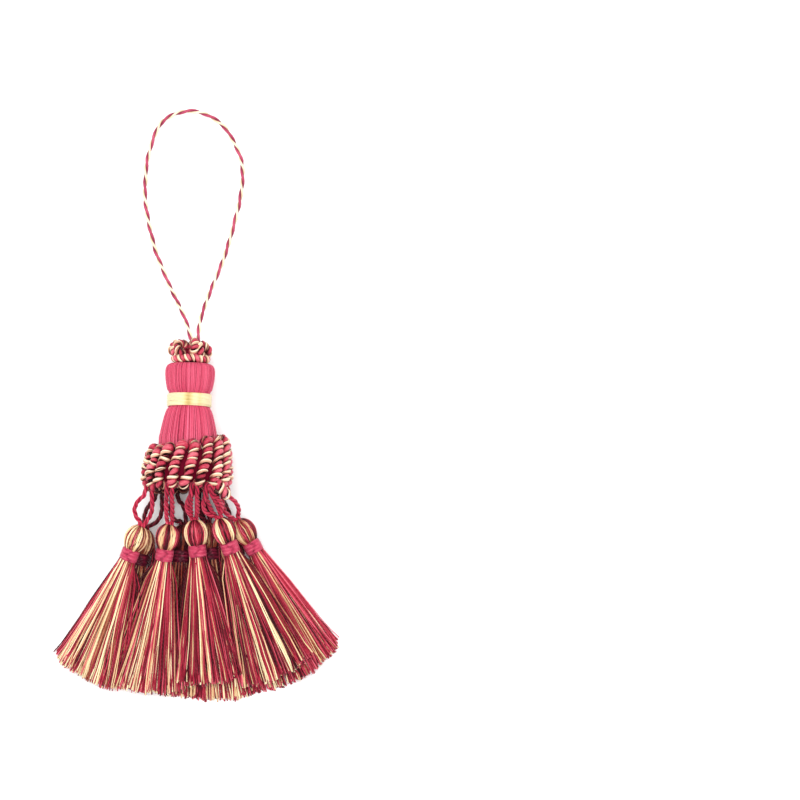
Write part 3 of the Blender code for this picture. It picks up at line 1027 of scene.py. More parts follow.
@dataclass
class Ruff:
    """The big ruff: thick two-tone gimp wound over a ring, turn beside slanting turn."""

    axis: HeadAxis
    # A fat crimson ply, and two thin gold ones that show between its turns: one gold yarn, the
    # first ply paler as painted highlight and the second darker as painted shade below it.
    gimp: Cord = Cord(
        plies=(
            Ply(1.12 * MM, 1.02 * MM, 0.0, Yarn.CRIMSON, 12),
            Ply(0.26 * MM, 1.88 * MM, math.pi + 0.36, Yarn.GOLD, 8, 0.32),
            Ply(0.28 * MM, 1.78 * MM, math.pi - 0.36, Yarn.GOLD, 8, -0.22),
        ),
        lead=3.7 * MM,
        twist=Twist.Z,
        rings_a_turn=18,
        arch=0.45 * MM,
    )
    turns: int = 17
    tone: float = 0.66
    # How far a turn slants round the axis for each metre along it.
    slant: float = math.radians(-0.9) / MM
    # How far the upper part is lifted, towards which side, from which height, over how much.
    lift: float = 2.7 * MM
    lift_side: float = math.radians(-22)
    lift_from: float = -2.0 * MM
    lift_run: float = 5.0 * MM
    # The gimp's middle line over the ring, and the core's outline, as radius and height in mm.
    winding: tuple[Pair, ...] = (
        (11.4, 5.6), (12.3, 6.9), (13.5, 7.5), (14.6, 6.8), (15.3, 4.8), (15.8, 2.2),
        (16.25, -0.4), (16.55, -3.0), (16.6, -5.6), (16.1, -7.9), (15.0, -9.3), (13.6, -9.6),
        (12.3, -9.4), (11.4, -9.2),
    )
    core: tuple[Pair, ...] = (
        (12.3, 3.6), (13.2, 4.6), (14.0, 3.6), (14.6, 0.4), (14.9, -3.0), (14.8, -6.0),
        (14.0, -8.2), (12.8, -8.2), (12.2, -6.0), (12.2, 0.0),
    )
    core_sides: int = 72
    # The loose end's middle line, in mm in the frame, and the way its open side faces.
    tail: tuple[Point, ...] = (
        (10.6, -5.6, 29.0), (12.4, -8.4, 29.4), (14.0, -10.6, 28.6), (15.4, -12.2, 27.2),
        (16.0, -12.9, 26.0),
    )
    tail_side: Point = (0.35, 0.0, 0.94)

    SEED = 41
    # How far a turn strays: from the axis and along it in mm, and round it in radians.
    STRAY = (0.12, 0.22, 0.014)
    SWAY, SWAY_WAVE = 0.03, 17 * MM
    UNREST = 1.3
    # How full the gimp is: its own unevenness, and spots by how much, where and how wide.
    UNEVEN, UNEVEN_WAVE = 0.20, 0.42
    RIM, RIM_AT = 0.50, (0.14, 0.08)
    LOW, LOW_AT = 0.44, (0.72, 0.055)
    LEFT, LEFT_AT = 0.6, (0.36, 0.08)
    SLIP = Slip(0.4, 0.55, (0.25, 0.6), 0.06)
    # The rim is full on turns whose cosine is below this, and the left side is thinner below
    # the other one.
    RIM_BELOW = 0.45
    LEFT_BELOW = -0.1
    # How turns differ in tone, and how much darker they end and over how much.
    TONE_SPREAD = 0.08
    DARK_END = (0.18, 0.1)
    TAIL_UNREST = 0.6
    TAIL_FULLER = -0.12

    def build(self, palette: Palette) -> None:
        """Winds the gimp over the ring and builds the ring's core."""
        rng = np.random.default_rng(self.SEED)
        mesh = StrandMesh()
        for i in range(self.turns):
            self._add_turn(mesh, rng, TURN * i / self.turns)
        self._add_tail(mesh, rng)
        piece = mesh.make("ruff_gimp", palette.gimp())
        self._press(piece)
        settle(piece, "gimp_two_tone", "ruff")

        ring = StrandMesh()
        section = smooth_line(np.array(self.core + self.core[:1]) * MM, 33)[None, :-1]
        rings = self._lifted(circle(self.core_sides)[:, None], section[..., 0], section[..., 1])
        # The core shows between the turns in the darkest tone, as painted shade.
        ring.add(rings[None], 0, 0.0, looped=True)
        piece = ring.make("ruff_core", [palette.core.material()])
        self._press(piece)
        settle(piece, "gimp_two_tone")

    def _add_turn(self, mesh: StrandMesh, rng: np.random.Generator, at: float) -> None:
        """Adds one turn of the gimp, at an angle round the axis."""
        loose = rng.normal(0, 1, 3) * np.array(self.STRAY)
        section = smooth_line(np.array(self.winding) * MM, 80) + loose[:2] * MM
        angle = at + self.slant * section[:, 1] + loose[2]
        angle = angle + self.SWAY * wander(rng, section[:, 1], self.SWAY_WAVE)
        line = self.gimp.fitted(self._lifted(angle, section[:, 0], section[:, 1]))
        share = shares(line)
        right = math.cos(angle[0])
        rim = self.RIM if right < self.RIM_BELOW else 0.0
        left = self.LEFT * max(0.0, self.LEFT_BELOW - right)
        fuller = self.UNEVEN * wander(rng, share, self.UNEVEN_WAVE)
        fuller = fuller + rim * bell(share, *self.RIM_AT)
        fuller = fuller - self.LOW * bell(share, *self.LOW_AT) - left * bell(share, *self.LEFT_AT)
        fuller = fuller - self.SLIP.thins(rng, share)
        # The turn's outward way is its open side: lay_along paints shade on its sheltered side and
        # highlight on its crests.
        way = self.axis.outward(angle[0] + (angle[-1] - angle[0]) * share)
        darker, width = self.DARK_END
        tone = self.tone + self.TONE_SPREAD * rng.normal() - darker * bell(share, 1.0, width)
        start = self.axis.outward(np.array(angle[0] + rng.uniform(0, TURN)))
        self.gimp.lay_along(mesh, line, rng, start, self.UNREST, tone, fuller, way)

    def _add_tail(self, mesh: StrandMesh, rng: np.random.Generator) -> None:
        """Adds the gimp's loose end, which hangs out under the last turn."""
        line = self.gimp.fitted(smooth_line(np.array(self.tail) * MM, 60))
        # The tail's open side, for the same painted shade and highlight.
        side = np.tile(self.tail_side, (len(line), 1))
        self.gimp.lay_along(
            mesh, line, rng, side[0], self.TAIL_UNREST, self.tone, self.TAIL_FULLER, side
        )

    def _lifted(self, angle: Array, radius: Array, rise: Array) -> Array:
        """Points round the axis, with the upper part higher on one side."""
        share = np.clip((rise - self.lift_from) / self.lift_run, 0, 1)
        lift = self.lift * np.cos(angle - self.lift_side) * share
        return self.axis.place(angle, radius, rise + lift)

    @staticmethod
    def _press(piece: bpy.types.Object) -> None:
        """Presses a piece flat where it would sink into the table."""
        mesh = piece.data
        points = np.empty(len(mesh.vertices) * 3)
        mesh.vertices.foreach_get("co", points)
        points = points.reshape(-1, 3)
        points[:, 2] = np.maximum(points[:, 2], 0.0)
        mesh.vertices.foreach_set("co", points.ravel())
        mesh.update()


@dataclass
class Collar:
    """The collar on the head: petals of thinner gimp round the hanging loop's foot."""

    axis: HeadAxis
    gimp: Cord = Cord(
        plies=(
            Ply(0.86 * MM, 0.80 * MM, 0.0, Yarn.CRIMSON, 12),
            # The two gold plies are one yarn: the first paler as painted highlight, the second
            # darker as painted shade below it.
            Ply(0.30 * MM, 1.38 * MM, math.pi + 0.45, Yarn.GOLD, 8, 0.30),
            Ply(0.30 * MM, 1.30 * MM, math.pi - 0.50, Yarn.GOLD, 8, -0.12),
        ),
        lead=2.9 * MM,
        twist=Twist.Z,
        rings_a_turn=16,
    )
    petals: int = 10
    tone: float = 0.61
    # The gimp's middle line over a petal, and the filling's outline, as radius and height in mm.
    winding: tuple[Pair, ...] = (
        (1.9, 44.8), (2.2, 46.8), (3.6, 47.8), (5.4, 47.6), (6.9, 46.4), (7.4, 45.0), (6.9, 43.9),
        (5.6, 43.6), (3.6, 43.8),
    )
    filling: tuple[Pair, ...] = (
        (1.0, 40.5), (5.2, 40.6), (5.6, 42.0), (5.4, 44.2), (3.6, 45.6), (1.0, 46.0),
    )
    filling_sides: int = 32
    foot_radius: float = 6.3 * MM
    foot_rise: float = 41.7 * MM
    foot_tone: float = 0.68

    SEED = 51
    # Where the first petal lies, as a share of a petal, and the height about which one leans.
    FIRST = 0.35
    LEAN_ABOUT = 45 * MM
    # How far a petal strays: from the axis and along it in mm, round it in radians, and how far
    # it leans, in radians for each half millimetre.
    STRAY = (0.25, 0.35, 0.09, 0.03)
    UNREST = 1.2
    UNEVEN, UNEVEN_WAVE = 0.18, 0.4
    SLIP = Slip(0.6, 0.5, (0.3, 0.8), 0.09)
    TONE_SPREAD = 0.08
    # The foot's swings in mm and wavelengths in radians, and its gimp's, in shares of the turn.
    FOOT_RADIUS_WAVES = ((0.25, 2.1),)
    FOOT_RISE_WAVES = ((0.3, 1.7),)
    FOOT_UNEVEN, FOOT_UNEVEN_WAVE = 0.2, 0.21
    FOOT_UNREST = 1.0

    def build(self, palette: Palette) -> None:
        """Lays the petals and fills the middle under them."""
        rng = np.random.default_rng(self.SEED)
        mesh = StrandMesh()
        for i in range(self.petals):
            self._add_petal(mesh, rng, TURN * (i + self.FIRST) / self.petals)
        self._add_foot(mesh, rng)
        settle(mesh.make("collar_gimp", palette.gimp()), "gimp_two_tone", "collar")

        plug = StrandMesh()
        line = smooth_line(np.array(self.filling) * MM, 24)
        # The filling shows between the petals in the darkest tone, as painted shade.
        plug.add(self.axis.turned(line[:, 0], line[:, 1], self.filling_sides), 0, 0.0)
        settle(plug.make("collar_core", [palette.core.material()]), "gimp_two_tone")

    def _add_petal(self, mesh: StrandMesh, rng: np.random.Generator, at: float) -> None:
        """Adds one petal, at an angle round the axis."""
        loose = rng.normal(0, 1, 4) * np.array(self.STRAY)
        section = smooth_line(np.array(self.winding) * MM, 40) + loose[:2] * MM
        lean = loose[3] * (section[:, 1] - self.LEAN_ABOUT) / MM
        angle = at + loose[2] + lean * 2
        line = self.gimp.fitted(self.axis.place(angle, section[:, 0], section[:, 1]))
        share = shares(line)
        fuller = self.UNEVEN * wander(rng, share, self.UNEVEN_WAVE) - self.SLIP.thins(rng, share)
        # The petal's open side: lay_along paints shade on its sheltered side and highlight on its
        # crests.
        open_side = self.axis.outward(np.full(len(line), angle.mean()))
        start = self.axis.outward(np.array(angle[0] + rng.uniform(0, TURN)))
        tone = self.tone + self.TONE_SPREAD * rng.normal()
        self.gimp.lay_along(mesh, line, rng, start, self.UNREST, tone, fuller, open_side)

    def _add_foot(self, mesh: StrandMesh, rng: np.random.Generator) -> None:
        """Lays one turn of the gimp round the petals' feet, against the head."""
        angle = np.linspace(-math.pi / 2, 1.5 * math.pi, 160)
        radius = self.foot_radius + swings(rng, angle, self.FOOT_RADIUS_WAVES) * MM
        rise = self.foot_rise + swings(rng, angle, self.FOOT_RISE_WAVES) * MM
        line = self.gimp.fitted(self.axis.place(angle, radius, rise))
        count = len(line)
        side = self.axis.outward(np.linspace(angle[0], angle[-1], count))
        share = np.linspace(0, 1, count)
        fuller = self.FOOT_UNEVEN * wander(rng, share, self.FOOT_UNEVEN_WAVE)
        # Its outward side is the open side, for the same painted shade and highlight.
        self.gimp.lay_along(
            mesh, line, rng, side[0], self.FOOT_UNREST, self.foot_tone, fuller, side
        )


# Bundles of thread by letter: which yarn, and how pale it is. Paleness stands partly for the
# yarn's own shade and partly for painted light: the palest as painted highlight, the darkest as
# painted shade.
BUNDLES = {
    "d": (Yarn.CRIMSON, 0.14),
    "c": (Yarn.CRIMSON, 0.46),
    "p": (Yarn.CRIMSON, 0.86),
    "b": (Yarn.GOLD, 0.14),
    "g": (Yarn.GOLD, 0.52),
    "w": (Yarn.GOLD, 0.92),
}


@dataclass
class SmallTassel:
    """One of the small tassels that hang from the ruff, with its hanger and its binding.

    Angles are in degrees and lengths in mm, as in the table of small tassels. The skirt fans from
    left to right of straight down, where +X is positive. The letters of the ball and the skirt
    give the bundles of thread that show, from left to right.
    """

    name: str
    middle: Point
    pitch: float
    fan: Pair
    reach: Pair
    tips: Pair
    tip_half: float
    anchor: float
    bulges: Pair
    ball: str
    skirt: str
    threads: int
    seed: int
    # How much painted shade it gets for lying under others.
    sheltered_shade: float
    # How much wider the lowest threads fan than the others, to the left and to the right.
    under: Pair
    hanger_turns: int = 1
    # How many threads hang beside the binding, on its left and on its right.
    loose: tuple[int, int] = (0, 0)

    BALL_TOP = 5.2 * MM
    NECK_END = 10.4 * MM
    ROOT_SPREAD = 3.25 * MM
    ROOT_RISE = 0.9 * MM
    NECK_ROUND = 2.85 * MM
    SAG = 1.35
    FLATTEN = 2.0
    THREAD = 0.23 * MM
    BALL_THREADS = 76
    LAYERS = 5
    LAYERS_FROM = (-0.9, 0.95)
    # Bundles under the ones that show; single threads that stray over others, mostly pale, partly
    # as painted highlight, and how often they do; then the threads that hang beside the binding,
    # mostly dark as painted shade.
    FILLING = "ccpccdcpcg"
    FILLING_CHANCE = 0.12
    STRAYS = "wcpwcg"
    STRAYS_CHANCE = 0.14
    LOOSE = "dcddbdc"
    BALL_OUTLINE = (
        (0.75, -4.70), (1.7, -5.05), (3.2, -4.0), (4.45, -2.3), (4.95, 0.0), (4.75, 1.7),
        (4.30, 3.1), (3.60, 4.5), (3.0, 5.6),
    )
    CORE_SUNK = 0.45 * MM
    # The ball's threads: how their places vary and they sway, their thickness over their share
    # of the girth, the least of it and how it varies, and how deep in mm they may lie.
    BALL_UNEVEN = 0.15
    BALL_SWAY, BALL_SWAY_WAVE = 0.06, 9 * MM
    BALL_OVERLAP = 1.15
    BALL_THINNEST = 0.12 * MM
    BALL_WIDTHS = (0.85, 1.1)
    BALL_DEPTHS = (0, 0.28)
    BALL_TONES = 0.18
    # Painted shade for each mm a thread lies deeper, and for a ball lying under others.
    BALL_DEPTH_TONE = 0.6
    BALL_SHELTER = 0.5
    # Dark ends of the ball: how much, where and how wide in mm.
    POLES = ((0.30, -5.0, 1.3), (0.35, 4.8, 1.5))
    # Where the points of a skirt's thread lie, from the neck at 0 to the tip at 1.
    STATIONS = (-0.055, -0.025, 0.0, 0.04, 0.09, 0.16, 0.25, 0.35, 0.46, 0.57, 0.68, 0.79, 0.9, 1.0)
    # The skirt's tips gather in locks: how many, how much, how tips vary and how the top
    # threads' do more, and how often and how far single ones stray.
    LOCKS = 11
    # A hair under a whole share, so that the last thread falls in the last lock.
    LAST_LOCK = 0.999
    GATHER = 0.45
    TIP_SPREAD = 0.05
    TOP_MORE = 0.8
    STRAY_CHANCE = 0.11
    STRAY_SPREAD = 0.26
    # How the threads' lengths vary, in mm: a wave across the skirt, each its own within limits,
    # and how much shorter the skirt's edges are.
    REACH, REACH_WAVE = 0.5, 0.8
    REACH_SPREAD = 0.6
    REACH_LIMITS = (-2.2, 1.2)
    EDGE_SHORTER = 1.8
    # How the threads drift sideways, in mm: a wave, a bow, a curl at the tip, and the fullness
    # of the lowest threads below the neck.
    DRIFT, DRIFT_WAVE = 0.35, 0.9
    BOW = 0.35
    CURL, CURL_FROM, CURL_RUN = 0.5, 0.8, 0.2
    FULL, FULL_RUN = 0.40, 0.16
    # How far along the round neck flattens, and how a thread's height varies by lock and alone.
    PACKED = 0.14
    # The least height of the round neck at its sides, squared, as a share of its radius.
    FLATTEST = 0.05
    LOCK_RISE = 0.35
    RISE_SPREAD = 0.25
    SKIRT_WIDTHS = (0.75, 1.2)
    TIP_FLARE = 0.3
    # Painted shade that makes a skirt's thread darker: others over it, the neck, the grooves
    # between locks, lying low and lying under other tassels. The first, and the last two, fade to
    # the tips.
    FADE = 0.97
    BURIED = 0.14
    NECK_DARK = (0.25, -0.02, 0.04)
    GROOVE = 0.09
    LOW_DARK = 0.50
    SHELTER_DARK = 1.3
    # What else changes its tone: a wave along it, its pale cut tip, and its own shade.
    TONE_SWING, TONE_WAVE = 0.14, 0.7
    PALE_TIP = 0.16
    SKIRT_TONES = 0.17
    # How far apart the waves of two threads may start.
    START_APART = 9
    # Threads beside the binding, in mm: where they run, how far out, how they bulge, wander and
    # lie deeper.
    LOOSE_RUN = (-1.0, 20.0)
    LOOSE_POINTS = 14
    LOOSE_APART = 99
    LOOSE_OUT = 3.7
    LOOSE_BULGE = (0.2, 3.8)
    LOOSE_BELLY = (8.5, 7.0)
    LOOSE_SWAY, LOOSE_WAVE = 0.3, 14.0
    LOOSE_DEPTHS = (-2.6, 1.0)
    LOOSE_WIDTHS = (0.75, 1.1)
    # Their share of the tassel's painted shade for lying under others.
    LOOSE_SHELTER = 0.25
    # The binding's ends along the tassel, its radius, its turns and the steps in each.
    BINDING = (4.6 * MM, 10.0 * MM, 3.70 * MM, 10, 30)
    BINDING_OVERLAP = 1.14
    BINDING_TONE = 0.58
    # Its pinch at the front: how far it sways, how wide and deep it is, and how dark its painted
    # shade is.
    PINCH_SWAY = 0.3
    PINCH_WIDTH = 0.2
    PINCH_DEPTH = 0.34 * MM
    PINCH_SHADE = 0.30
    # How its outermost turns are drawn in and darker, each over how many turns.
    DRAWN_IN = (0.25 * MM, 0.8)
    EDGE_DARK = (0.2, 0.7)
    # Swings, and wavelengths in turns: of its reach and radius in mm, and of its tone.
    REACH_WAVES = ((0.06, 1.3),)
    RADIUS_WAVES = ((0.06, 0.9),)
    TONE_WAVES = ((0.14, 0.43), (0.10, 2.7))
    HANGER = Cord(
        plies=tuple(Ply(0.49 * MM, 0.47 * MM, TURN * k / 3, Yarn.CRIMSON, 10) for k in range(3)),
        lead=9.3 * MM,
        twist=Twist.S,
        rings_a_turn=22,
    )
    HANGER_RADIUS = 0.95 * MM
    HANGER_RING = 15.5 * MM
    HANGER_FINE = 200
    HANGER_UNREST = 0.4
    GAP = 0.3 * MM
    RUFF_UNDERSIDE = -11.6 * MM
    # How far a hanger's upper end runs into the ruff.
    HIDDEN = 3 * MM
    # A hanger's lower end in the ball: how far from its middle, and how far out, in radii.
    HANGER_FOOT = ((3.6 * MM, 0.55), (5.0 * MM, 0.85))
    FOOT_OUT = 1.1
    # Points on a hanger's way up: the share of the way, and of its bulge.
    HANGER_SWELLS = ((0.18, 0.45), (0.40, 0.9), (0.68, 0.75), (0.90, 0.25))
    # How much less the second turn opens, how much lower it lies, and how much darker its painted
    # shade makes it.
    SECOND_CLOSER = 0.8
    SECOND_LOWER = 0.8 * MM
    SECOND_SHADE = 0.12
    HANGER_TONE = 0.66
    # How dark the painted shade is at the hanger's upper bend under the ruff, where it is along the
    # hanger, and how wide.
    BEND_SHADE = (0.25, 0.5, 0.14)

    def axes(self) -> tuple[Array, Array, Array, Array]:
        """The ball's middle, and the directions along to the skirt, sideways and upward."""
        heading, pitch = math.radians(sum(self.fan) / 2), math.radians(self.pitch)
        side = np.array([math.cos(heading), math.sin(heading), 0.0])
        level = math.cos(pitch)
        along = np.array([side[1] * level, -side[0] * level, -math.sin(pitch)])
        return np.array(self.middle) * MM, along, side, np.cross(along, side)

    def build(self, axis: HeadAxis, palette: Palette) -> None:
        """Builds the threads, the binding and the hanger."""
        rng = np.random.default_rng(self.seed)
        mesh = StrandMesh()
        groups = [self._ball_threads(rng), self._skirt_threads(rng)]
        self._add_core(mesh)
        if any(self.loose):
            groups.append(self._loose_threads(rng))
        for yarn in Yarn:
            for lines, outward, radii, yarns, tones in groups:
                own = yarns == yarn
                mesh.add_threads(lines[own], outward[own], radii[own], tones[own], int(yarn))
        piece = mesh.make(f"{self.name}_threads", palette.skirt())
        settle(piece, "skirt_threads", f"tassel_{self.name}")
        self._build_binding(rng, palette)
        self._build_hanger(rng, axis, palette)

    def _add_core(self, mesh: StrandMesh) -> None:
        """Adds the filling under the ball's threads, in the darkest tone as painted shade between
        them.
        """
        middle, along, side, up = self.axes()
        line = smooth_line(np.array(self.BALL_OUTLINE)[1:] * MM, 16)
        turned = circle(16)[:, None]
        radius = (line[:, 0] - self.CORE_SUNK)[:, None, None]
        spokes = side * np.cos(turned) + up * np.sin(turned)
        rings = middle + along * line[:, 1][:, None, None] + radius * spokes
        mesh.add(rings[None, :, ::-1], int(Yarn.CRIMSON), 0.0)

    def _ball_threads(self, rng: np.random.Generator) -> Threads:
        """Threads folded over the hanger and drawn down over the ball to the neck."""
        middle, along, side, up = self.axes()
        count = self.BALL_THREADS
        radius, rise = (smooth_line(np.array(self.BALL_OUTLINE) * MM, 20)).T
        uneven = rng.uniform(-self.BALL_UNEVEN, self.BALL_UNEVEN, count)
        place = (np.arange(count) + 0.5 + uneven) / count
        sway = wanders(rng, rise, self.BALL_SWAY_WAVE, count) * self.BALL_SWAY
        angle = (math.pi - TURN * place[:, None] + sway)[..., None]
        spokes = side * np.cos(angle) + up * np.sin(angle)
        half = np.maximum(self.BALL_THINNEST, self.BALL_OVERLAP * math.pi * radius / count)
        radii = half[None] * rng.uniform(*self.BALL_WIDTHS, (count, 1))
        depth = rng.uniform(*self.BALL_DEPTHS, (count, 1)) * MM
        reach = radius[None] - (radii + depth)
        lines = middle + along * rise[None, :, None] + reach[..., None] * spokes
        front = np.where(place < 0.5, place * 2, (1 - place) * 2)
        yarns, tones = self._bundles(self.ball, front)
        poles = sum(dark * bell(rise, at * MM, width * MM) for dark, at, width in self.POLES)
        tones = (tones + rng.normal(0, self.BALL_TONES, count))[:, None] - poles
        # Painted shade for deeper threads and for lying under others.
        tones = tones - self.BALL_DEPTH_TONE * depth / MM - self.BALL_SHELTER * self.sheltered_shade
        return lines, spokes, radii, yarns, tones

    def _skirt_threads(self, rng: np.random.Generator) -> Threads:
        """Threads of the skirt: packed round at the neck, and spread flat at the tips."""
        middle, along, side, _ = self.axes()
        per_layer = self.threads // self.LAYERS
        layer = np.repeat(np.linspace(*self.LAYERS_FROM, self.LAYERS), per_layer)
        across = np.tile((np.arange(per_layer) + 0.5) / per_layer * 2 - 1, self.LAYERS)
        across = across + rng.uniform(-0.9, 0.9, across.shape) / per_layer
        across = np.clip(across, -1, 1)
        one_each = (len(across), 1)
        yarns, tones = self._skirt_bundles(rng, across, layer)
        tip = self._tips(rng, across, layer)
        share = (tip + 1) / 2
        low = np.clip(-layer, 0, 1)
        left, right = self.under
        wider = low * (right * np.clip(tip, 0, 1) - left * np.clip(-tip, 0, 1))
        heading = np.radians(between(self.fan, share) + wider)
        outward = np.stack([np.sin(heading), -np.cos(heading), np.zeros(len(across))], axis=1)
        own = self.REACH * wander(rng, tip, self.REACH_WAVE)
        own = own + np.clip(rng.normal(0, self.REACH_SPREAD, len(across)), *self.REACH_LIMITS)
        reach = (between(self.reach, share) + own - self.EDGE_SHORTER * tip**6) * MM
        tip_z = between(self.tips, share)[:, None] * MM

        t = np.array(self.STATIONS)
        down = np.clip(t, 0, 1)
        root = middle + along * self.NECK_END + side * (across * self.ROOT_SPREAD)[:, None]
        travel = np.where(t[None, :, None] < 0, along, outward[:, None]) * t[None, :, None]
        lines = root[:, None] + travel * reach[:, None, None]
        lines = lines + side * self._drift(rng, across, tip, low)[..., None]

        round_rise = self.NECK_ROUND * np.sqrt(np.maximum(self.FLATTEST, 1 - across**2))
        half = self.tip_half * MM
        flat_rise = half + (self.ROOT_RISE - half) * (1 - down) ** self.FLATTEN
        packed = bell(down, 0.0, self.PACKED)
        rise = round_rise[:, None] * packed + flat_rise * (1 - packed)
        height = tip_z + (root[:, 2:] - tip_z) * (1 - down) ** self.SAG
        height = np.where(t < 0, lines[..., 2], height)
        lock = np.cos(TURN * (across + 1) / 2 * self.LOCKS)[:, None]
        uneven = rng.uniform(-self.RISE_SPREAD, self.RISE_SPREAD, one_each)
        uneven = uneven - self.LOCK_RISE * lock * down * (layer[:, None] > 0)
        # The last tenth of each thread, where it was cut.
        end = np.clip(10 * t - 9, 0, 1)
        radii = self.THREAD * rng.uniform(*self.SKIRT_WIDTHS, one_each)
        radii = radii * (1 + self.TIP_FLARE * end)
        lines[..., 2] = np.maximum(height + layer[:, None] * rise + uneven * MM, radii)

        # Painted shade: under other threads, at the neck, in the grooves, low down and under other
        # tassels.
        covered = 1 - self.FADE * down
        dark, at, width = self.NECK_DARK
        darker = self.BURIED * np.clip(0.5 - layer, 0, None)[:, None] * covered
        darker = darker + dark * bell(t, at, width)
        darker = darker + self.GROOVE * (1 - lock) * np.clip(t * 2, 0, 1)
        sunk = self.LOW_DARK * low[:, None] + self.SHELTER_DARK * self.sheltered_shade
        wave = wander(rng, t + rng.uniform(0, self.START_APART, one_each), self.TONE_WAVE)
        paler = self.TONE_SWING * wave + self.PALE_TIP * end
        own = rng.normal(0, self.SKIRT_TONES, len(across))
        tones = (tones + own)[:, None] - darker + paler - sunk * covered
        return lines, np.broadcast_to(UP, lines.shape), radii, yarns, tones

    def _tips(self, rng: np.random.Generator, across: Array, layer: Array) -> Array:
        """How far across the skirt each thread ends, from -1 to 1, gathered in locks."""
        count = len(across)
        nearest = np.floor((across + 1) / 2 * self.LOCKS * self.LAST_LOCK) + 0.5
        nearest = nearest / self.LOCKS * 2 - 1
        more = 1 + self.TOP_MORE * (layer > 0.5)
        tip = across + self.GATHER * (nearest - across)
        tip = tip + rng.normal(0, self.TIP_SPREAD, count) * more
        stray = rng.random(count) < self.STRAY_CHANCE
        return np.clip(tip + stray * rng.normal(0, self.STRAY_SPREAD, count), -1, 1)

    def _drift(self, rng: np.random.Generator, across: Array, tip: Array, low: Array) -> Array:
        """How far each of the skirt's threads has drifted sideways at each station."""
        t, one_each = np.array(self.STATIONS), (len(across), 1)
        down = np.clip(t, 0, 1)
        wave = wander(rng, t + rng.uniform(0, self.START_APART, one_each), self.DRIFT_WAVE)
        bow = rng.normal(0, self.BOW, one_each) * np.sin(math.pi * down)
        curled = np.clip((t - self.CURL_FROM) / self.CURL_RUN, 0, 1) ** 2
        curl = rng.normal(0, self.CURL, one_each) * curled
        left, right = self.under
        full = self.FULL * low * np.where(tip > 0, right, -left) * np.abs(across)
        flare = np.clip(t / self.FULL_RUN, 0, 1) * (1 - down)
        return (wave * down * self.DRIFT + bow + curl + full[:, None] * flare) * MM

    def _loose_threads(self, rng: np.random.Generator) -> Threads:
        """Threads that have slipped out of the binding and hang down beside it."""
        middle, along, side, up = self.axes()
        way = np.repeat([-1.0, 1.0], self.loose)[:, None]
        one_each = (len(way), 1)
        down = np.linspace(*self.LOOSE_RUN, self.LOOSE_POINTS) + rng.uniform(-1, 1, one_each)
        bulge = rng.uniform(*self.LOOSE_BULGE, one_each) * bell(down, *self.LOOSE_BELLY)
        sway = wander(rng, down + rng.uniform(0, self.LOOSE_APART, one_each), self.LOOSE_WAVE)
        across = way * (self.LOOSE_OUT + bulge) + self.LOOSE_SWAY * sway
        depth = rng.uniform(*self.LOOSE_DEPTHS, one_each)
        places = along * down[..., None] + side * across[..., None] + up * depth[..., None]
        lines = middle + places * MM
        even = np.ones(down.shape)
        radii = self.THREAD * rng.uniform(*self.LOOSE_WIDTHS, one_each) * even
        yarns, tones = self._bundles(self.LOOSE, rng.random(len(way)))
        # Painted shade for lying under other tassels.
        tones = (tones - self.LOOSE_SHELTER * self.sheltered_shade)[:, None] * even
        return lines, np.broadcast_to(UP, lines.shape), radii, yarns, tones

    def _skirt_bundles(
        self, rng: np.random.Generator, across: Array, layer: Array
    ) -> tuple[Array, Array]:
        """Yarn and tone of each thread: the upper layers in order, and those under them mixed."""
        count = len(across)
        yarns, tones = self._bundles(self.skirt, (across + 1) / 2)
        filled = np.where(layer < 0, 1.0, self.FILLING_CHANCE)
        for chance, letters in ((filled, self.FILLING), (self.STRAYS_CHANCE, self.STRAYS)):
            swapped = rng.random(count) < chance
            other_yarns, other_tones = self._bundles(letters, rng.random(count))
            yarns = np.where(swapped, other_yarns, yarns)
            tones = np.where(swapped, other_tones, tones)
        return yarns, tones

    @staticmethod
    def _bundles(order: str, shares: Array) -> tuple[Array, Array]:
        """The yarns and tones at shares of the way through an order of bundles."""
        letters = [order[min(len(order) - 1, int(share * len(order)))] for share in shares]
        yarns, tones = zip(*(BUNDLES[letter] for letter in letters))
        return np.array(yarns), np.array(tones)

    def _build_binding(self, rng: np.random.Generator, palette: Palette) -> None:
        """Winds the binding round the neck, pinched along one line at the front."""
        middle, along, side, up = self.axes()
        start, end, outside, turns, steps = self.BINDING
        thread = (end - start) / turns / 2 * self.BINDING_OVERLAP
        count = turns * steps
        turn = np.linspace(0, turns, count)
        reach = start + thread + (end - start - 2 * thread) * turn / turns
        reach = reach + swings(rng, turn, self.REACH_WAVES) * MM
        angle = TURN * turn - math.pi / 2
        sway = self.PINCH_SWAY * np.sin(TURN * turn / turns + rng.uniform(0, TURN))
        off = (angle - (math.pi / 2 + sway) + math.pi) % TURN - math.pi
        pinch = bell(off, 0.0, self.PINCH_WIDTH)
        edge = np.minimum(turn, turns - turn)
        depth, width = self.DRAWN_IN
        radius = outside - thread - self.PINCH_DEPTH * pinch - depth * bell(edge, 0.0, width)
        radius = radius + swings(rng, turn, self.RADIUS_WAVES) * MM
        spokes = side * np.cos(angle)[:, None] + up * np.sin(angle)[:, None]
        line = middle + along * reach[:, None] + spokes * radius[:, None]
        darker, width = self.EDGE_DARK
        # Painted shade in the pinch, and over the whole binding for lying under others.
        tones = self.BINDING_TONE + swings(rng, turn, self.TONE_WAVES) - self.PINCH_SHADE * pinch
        tones = tones - darker * bell(edge, 0.0, width) - self.sheltered_shade
        mesh = StrandMesh()
        mesh.add_threads(line[None], spokes[None], np.full((1, count), thread), tones[None])
        piece = mesh.make(f"{self.name}_binding", [palette.binding.material()])
        settle(piece, "crimson_thread", f"binding_{self.name}")

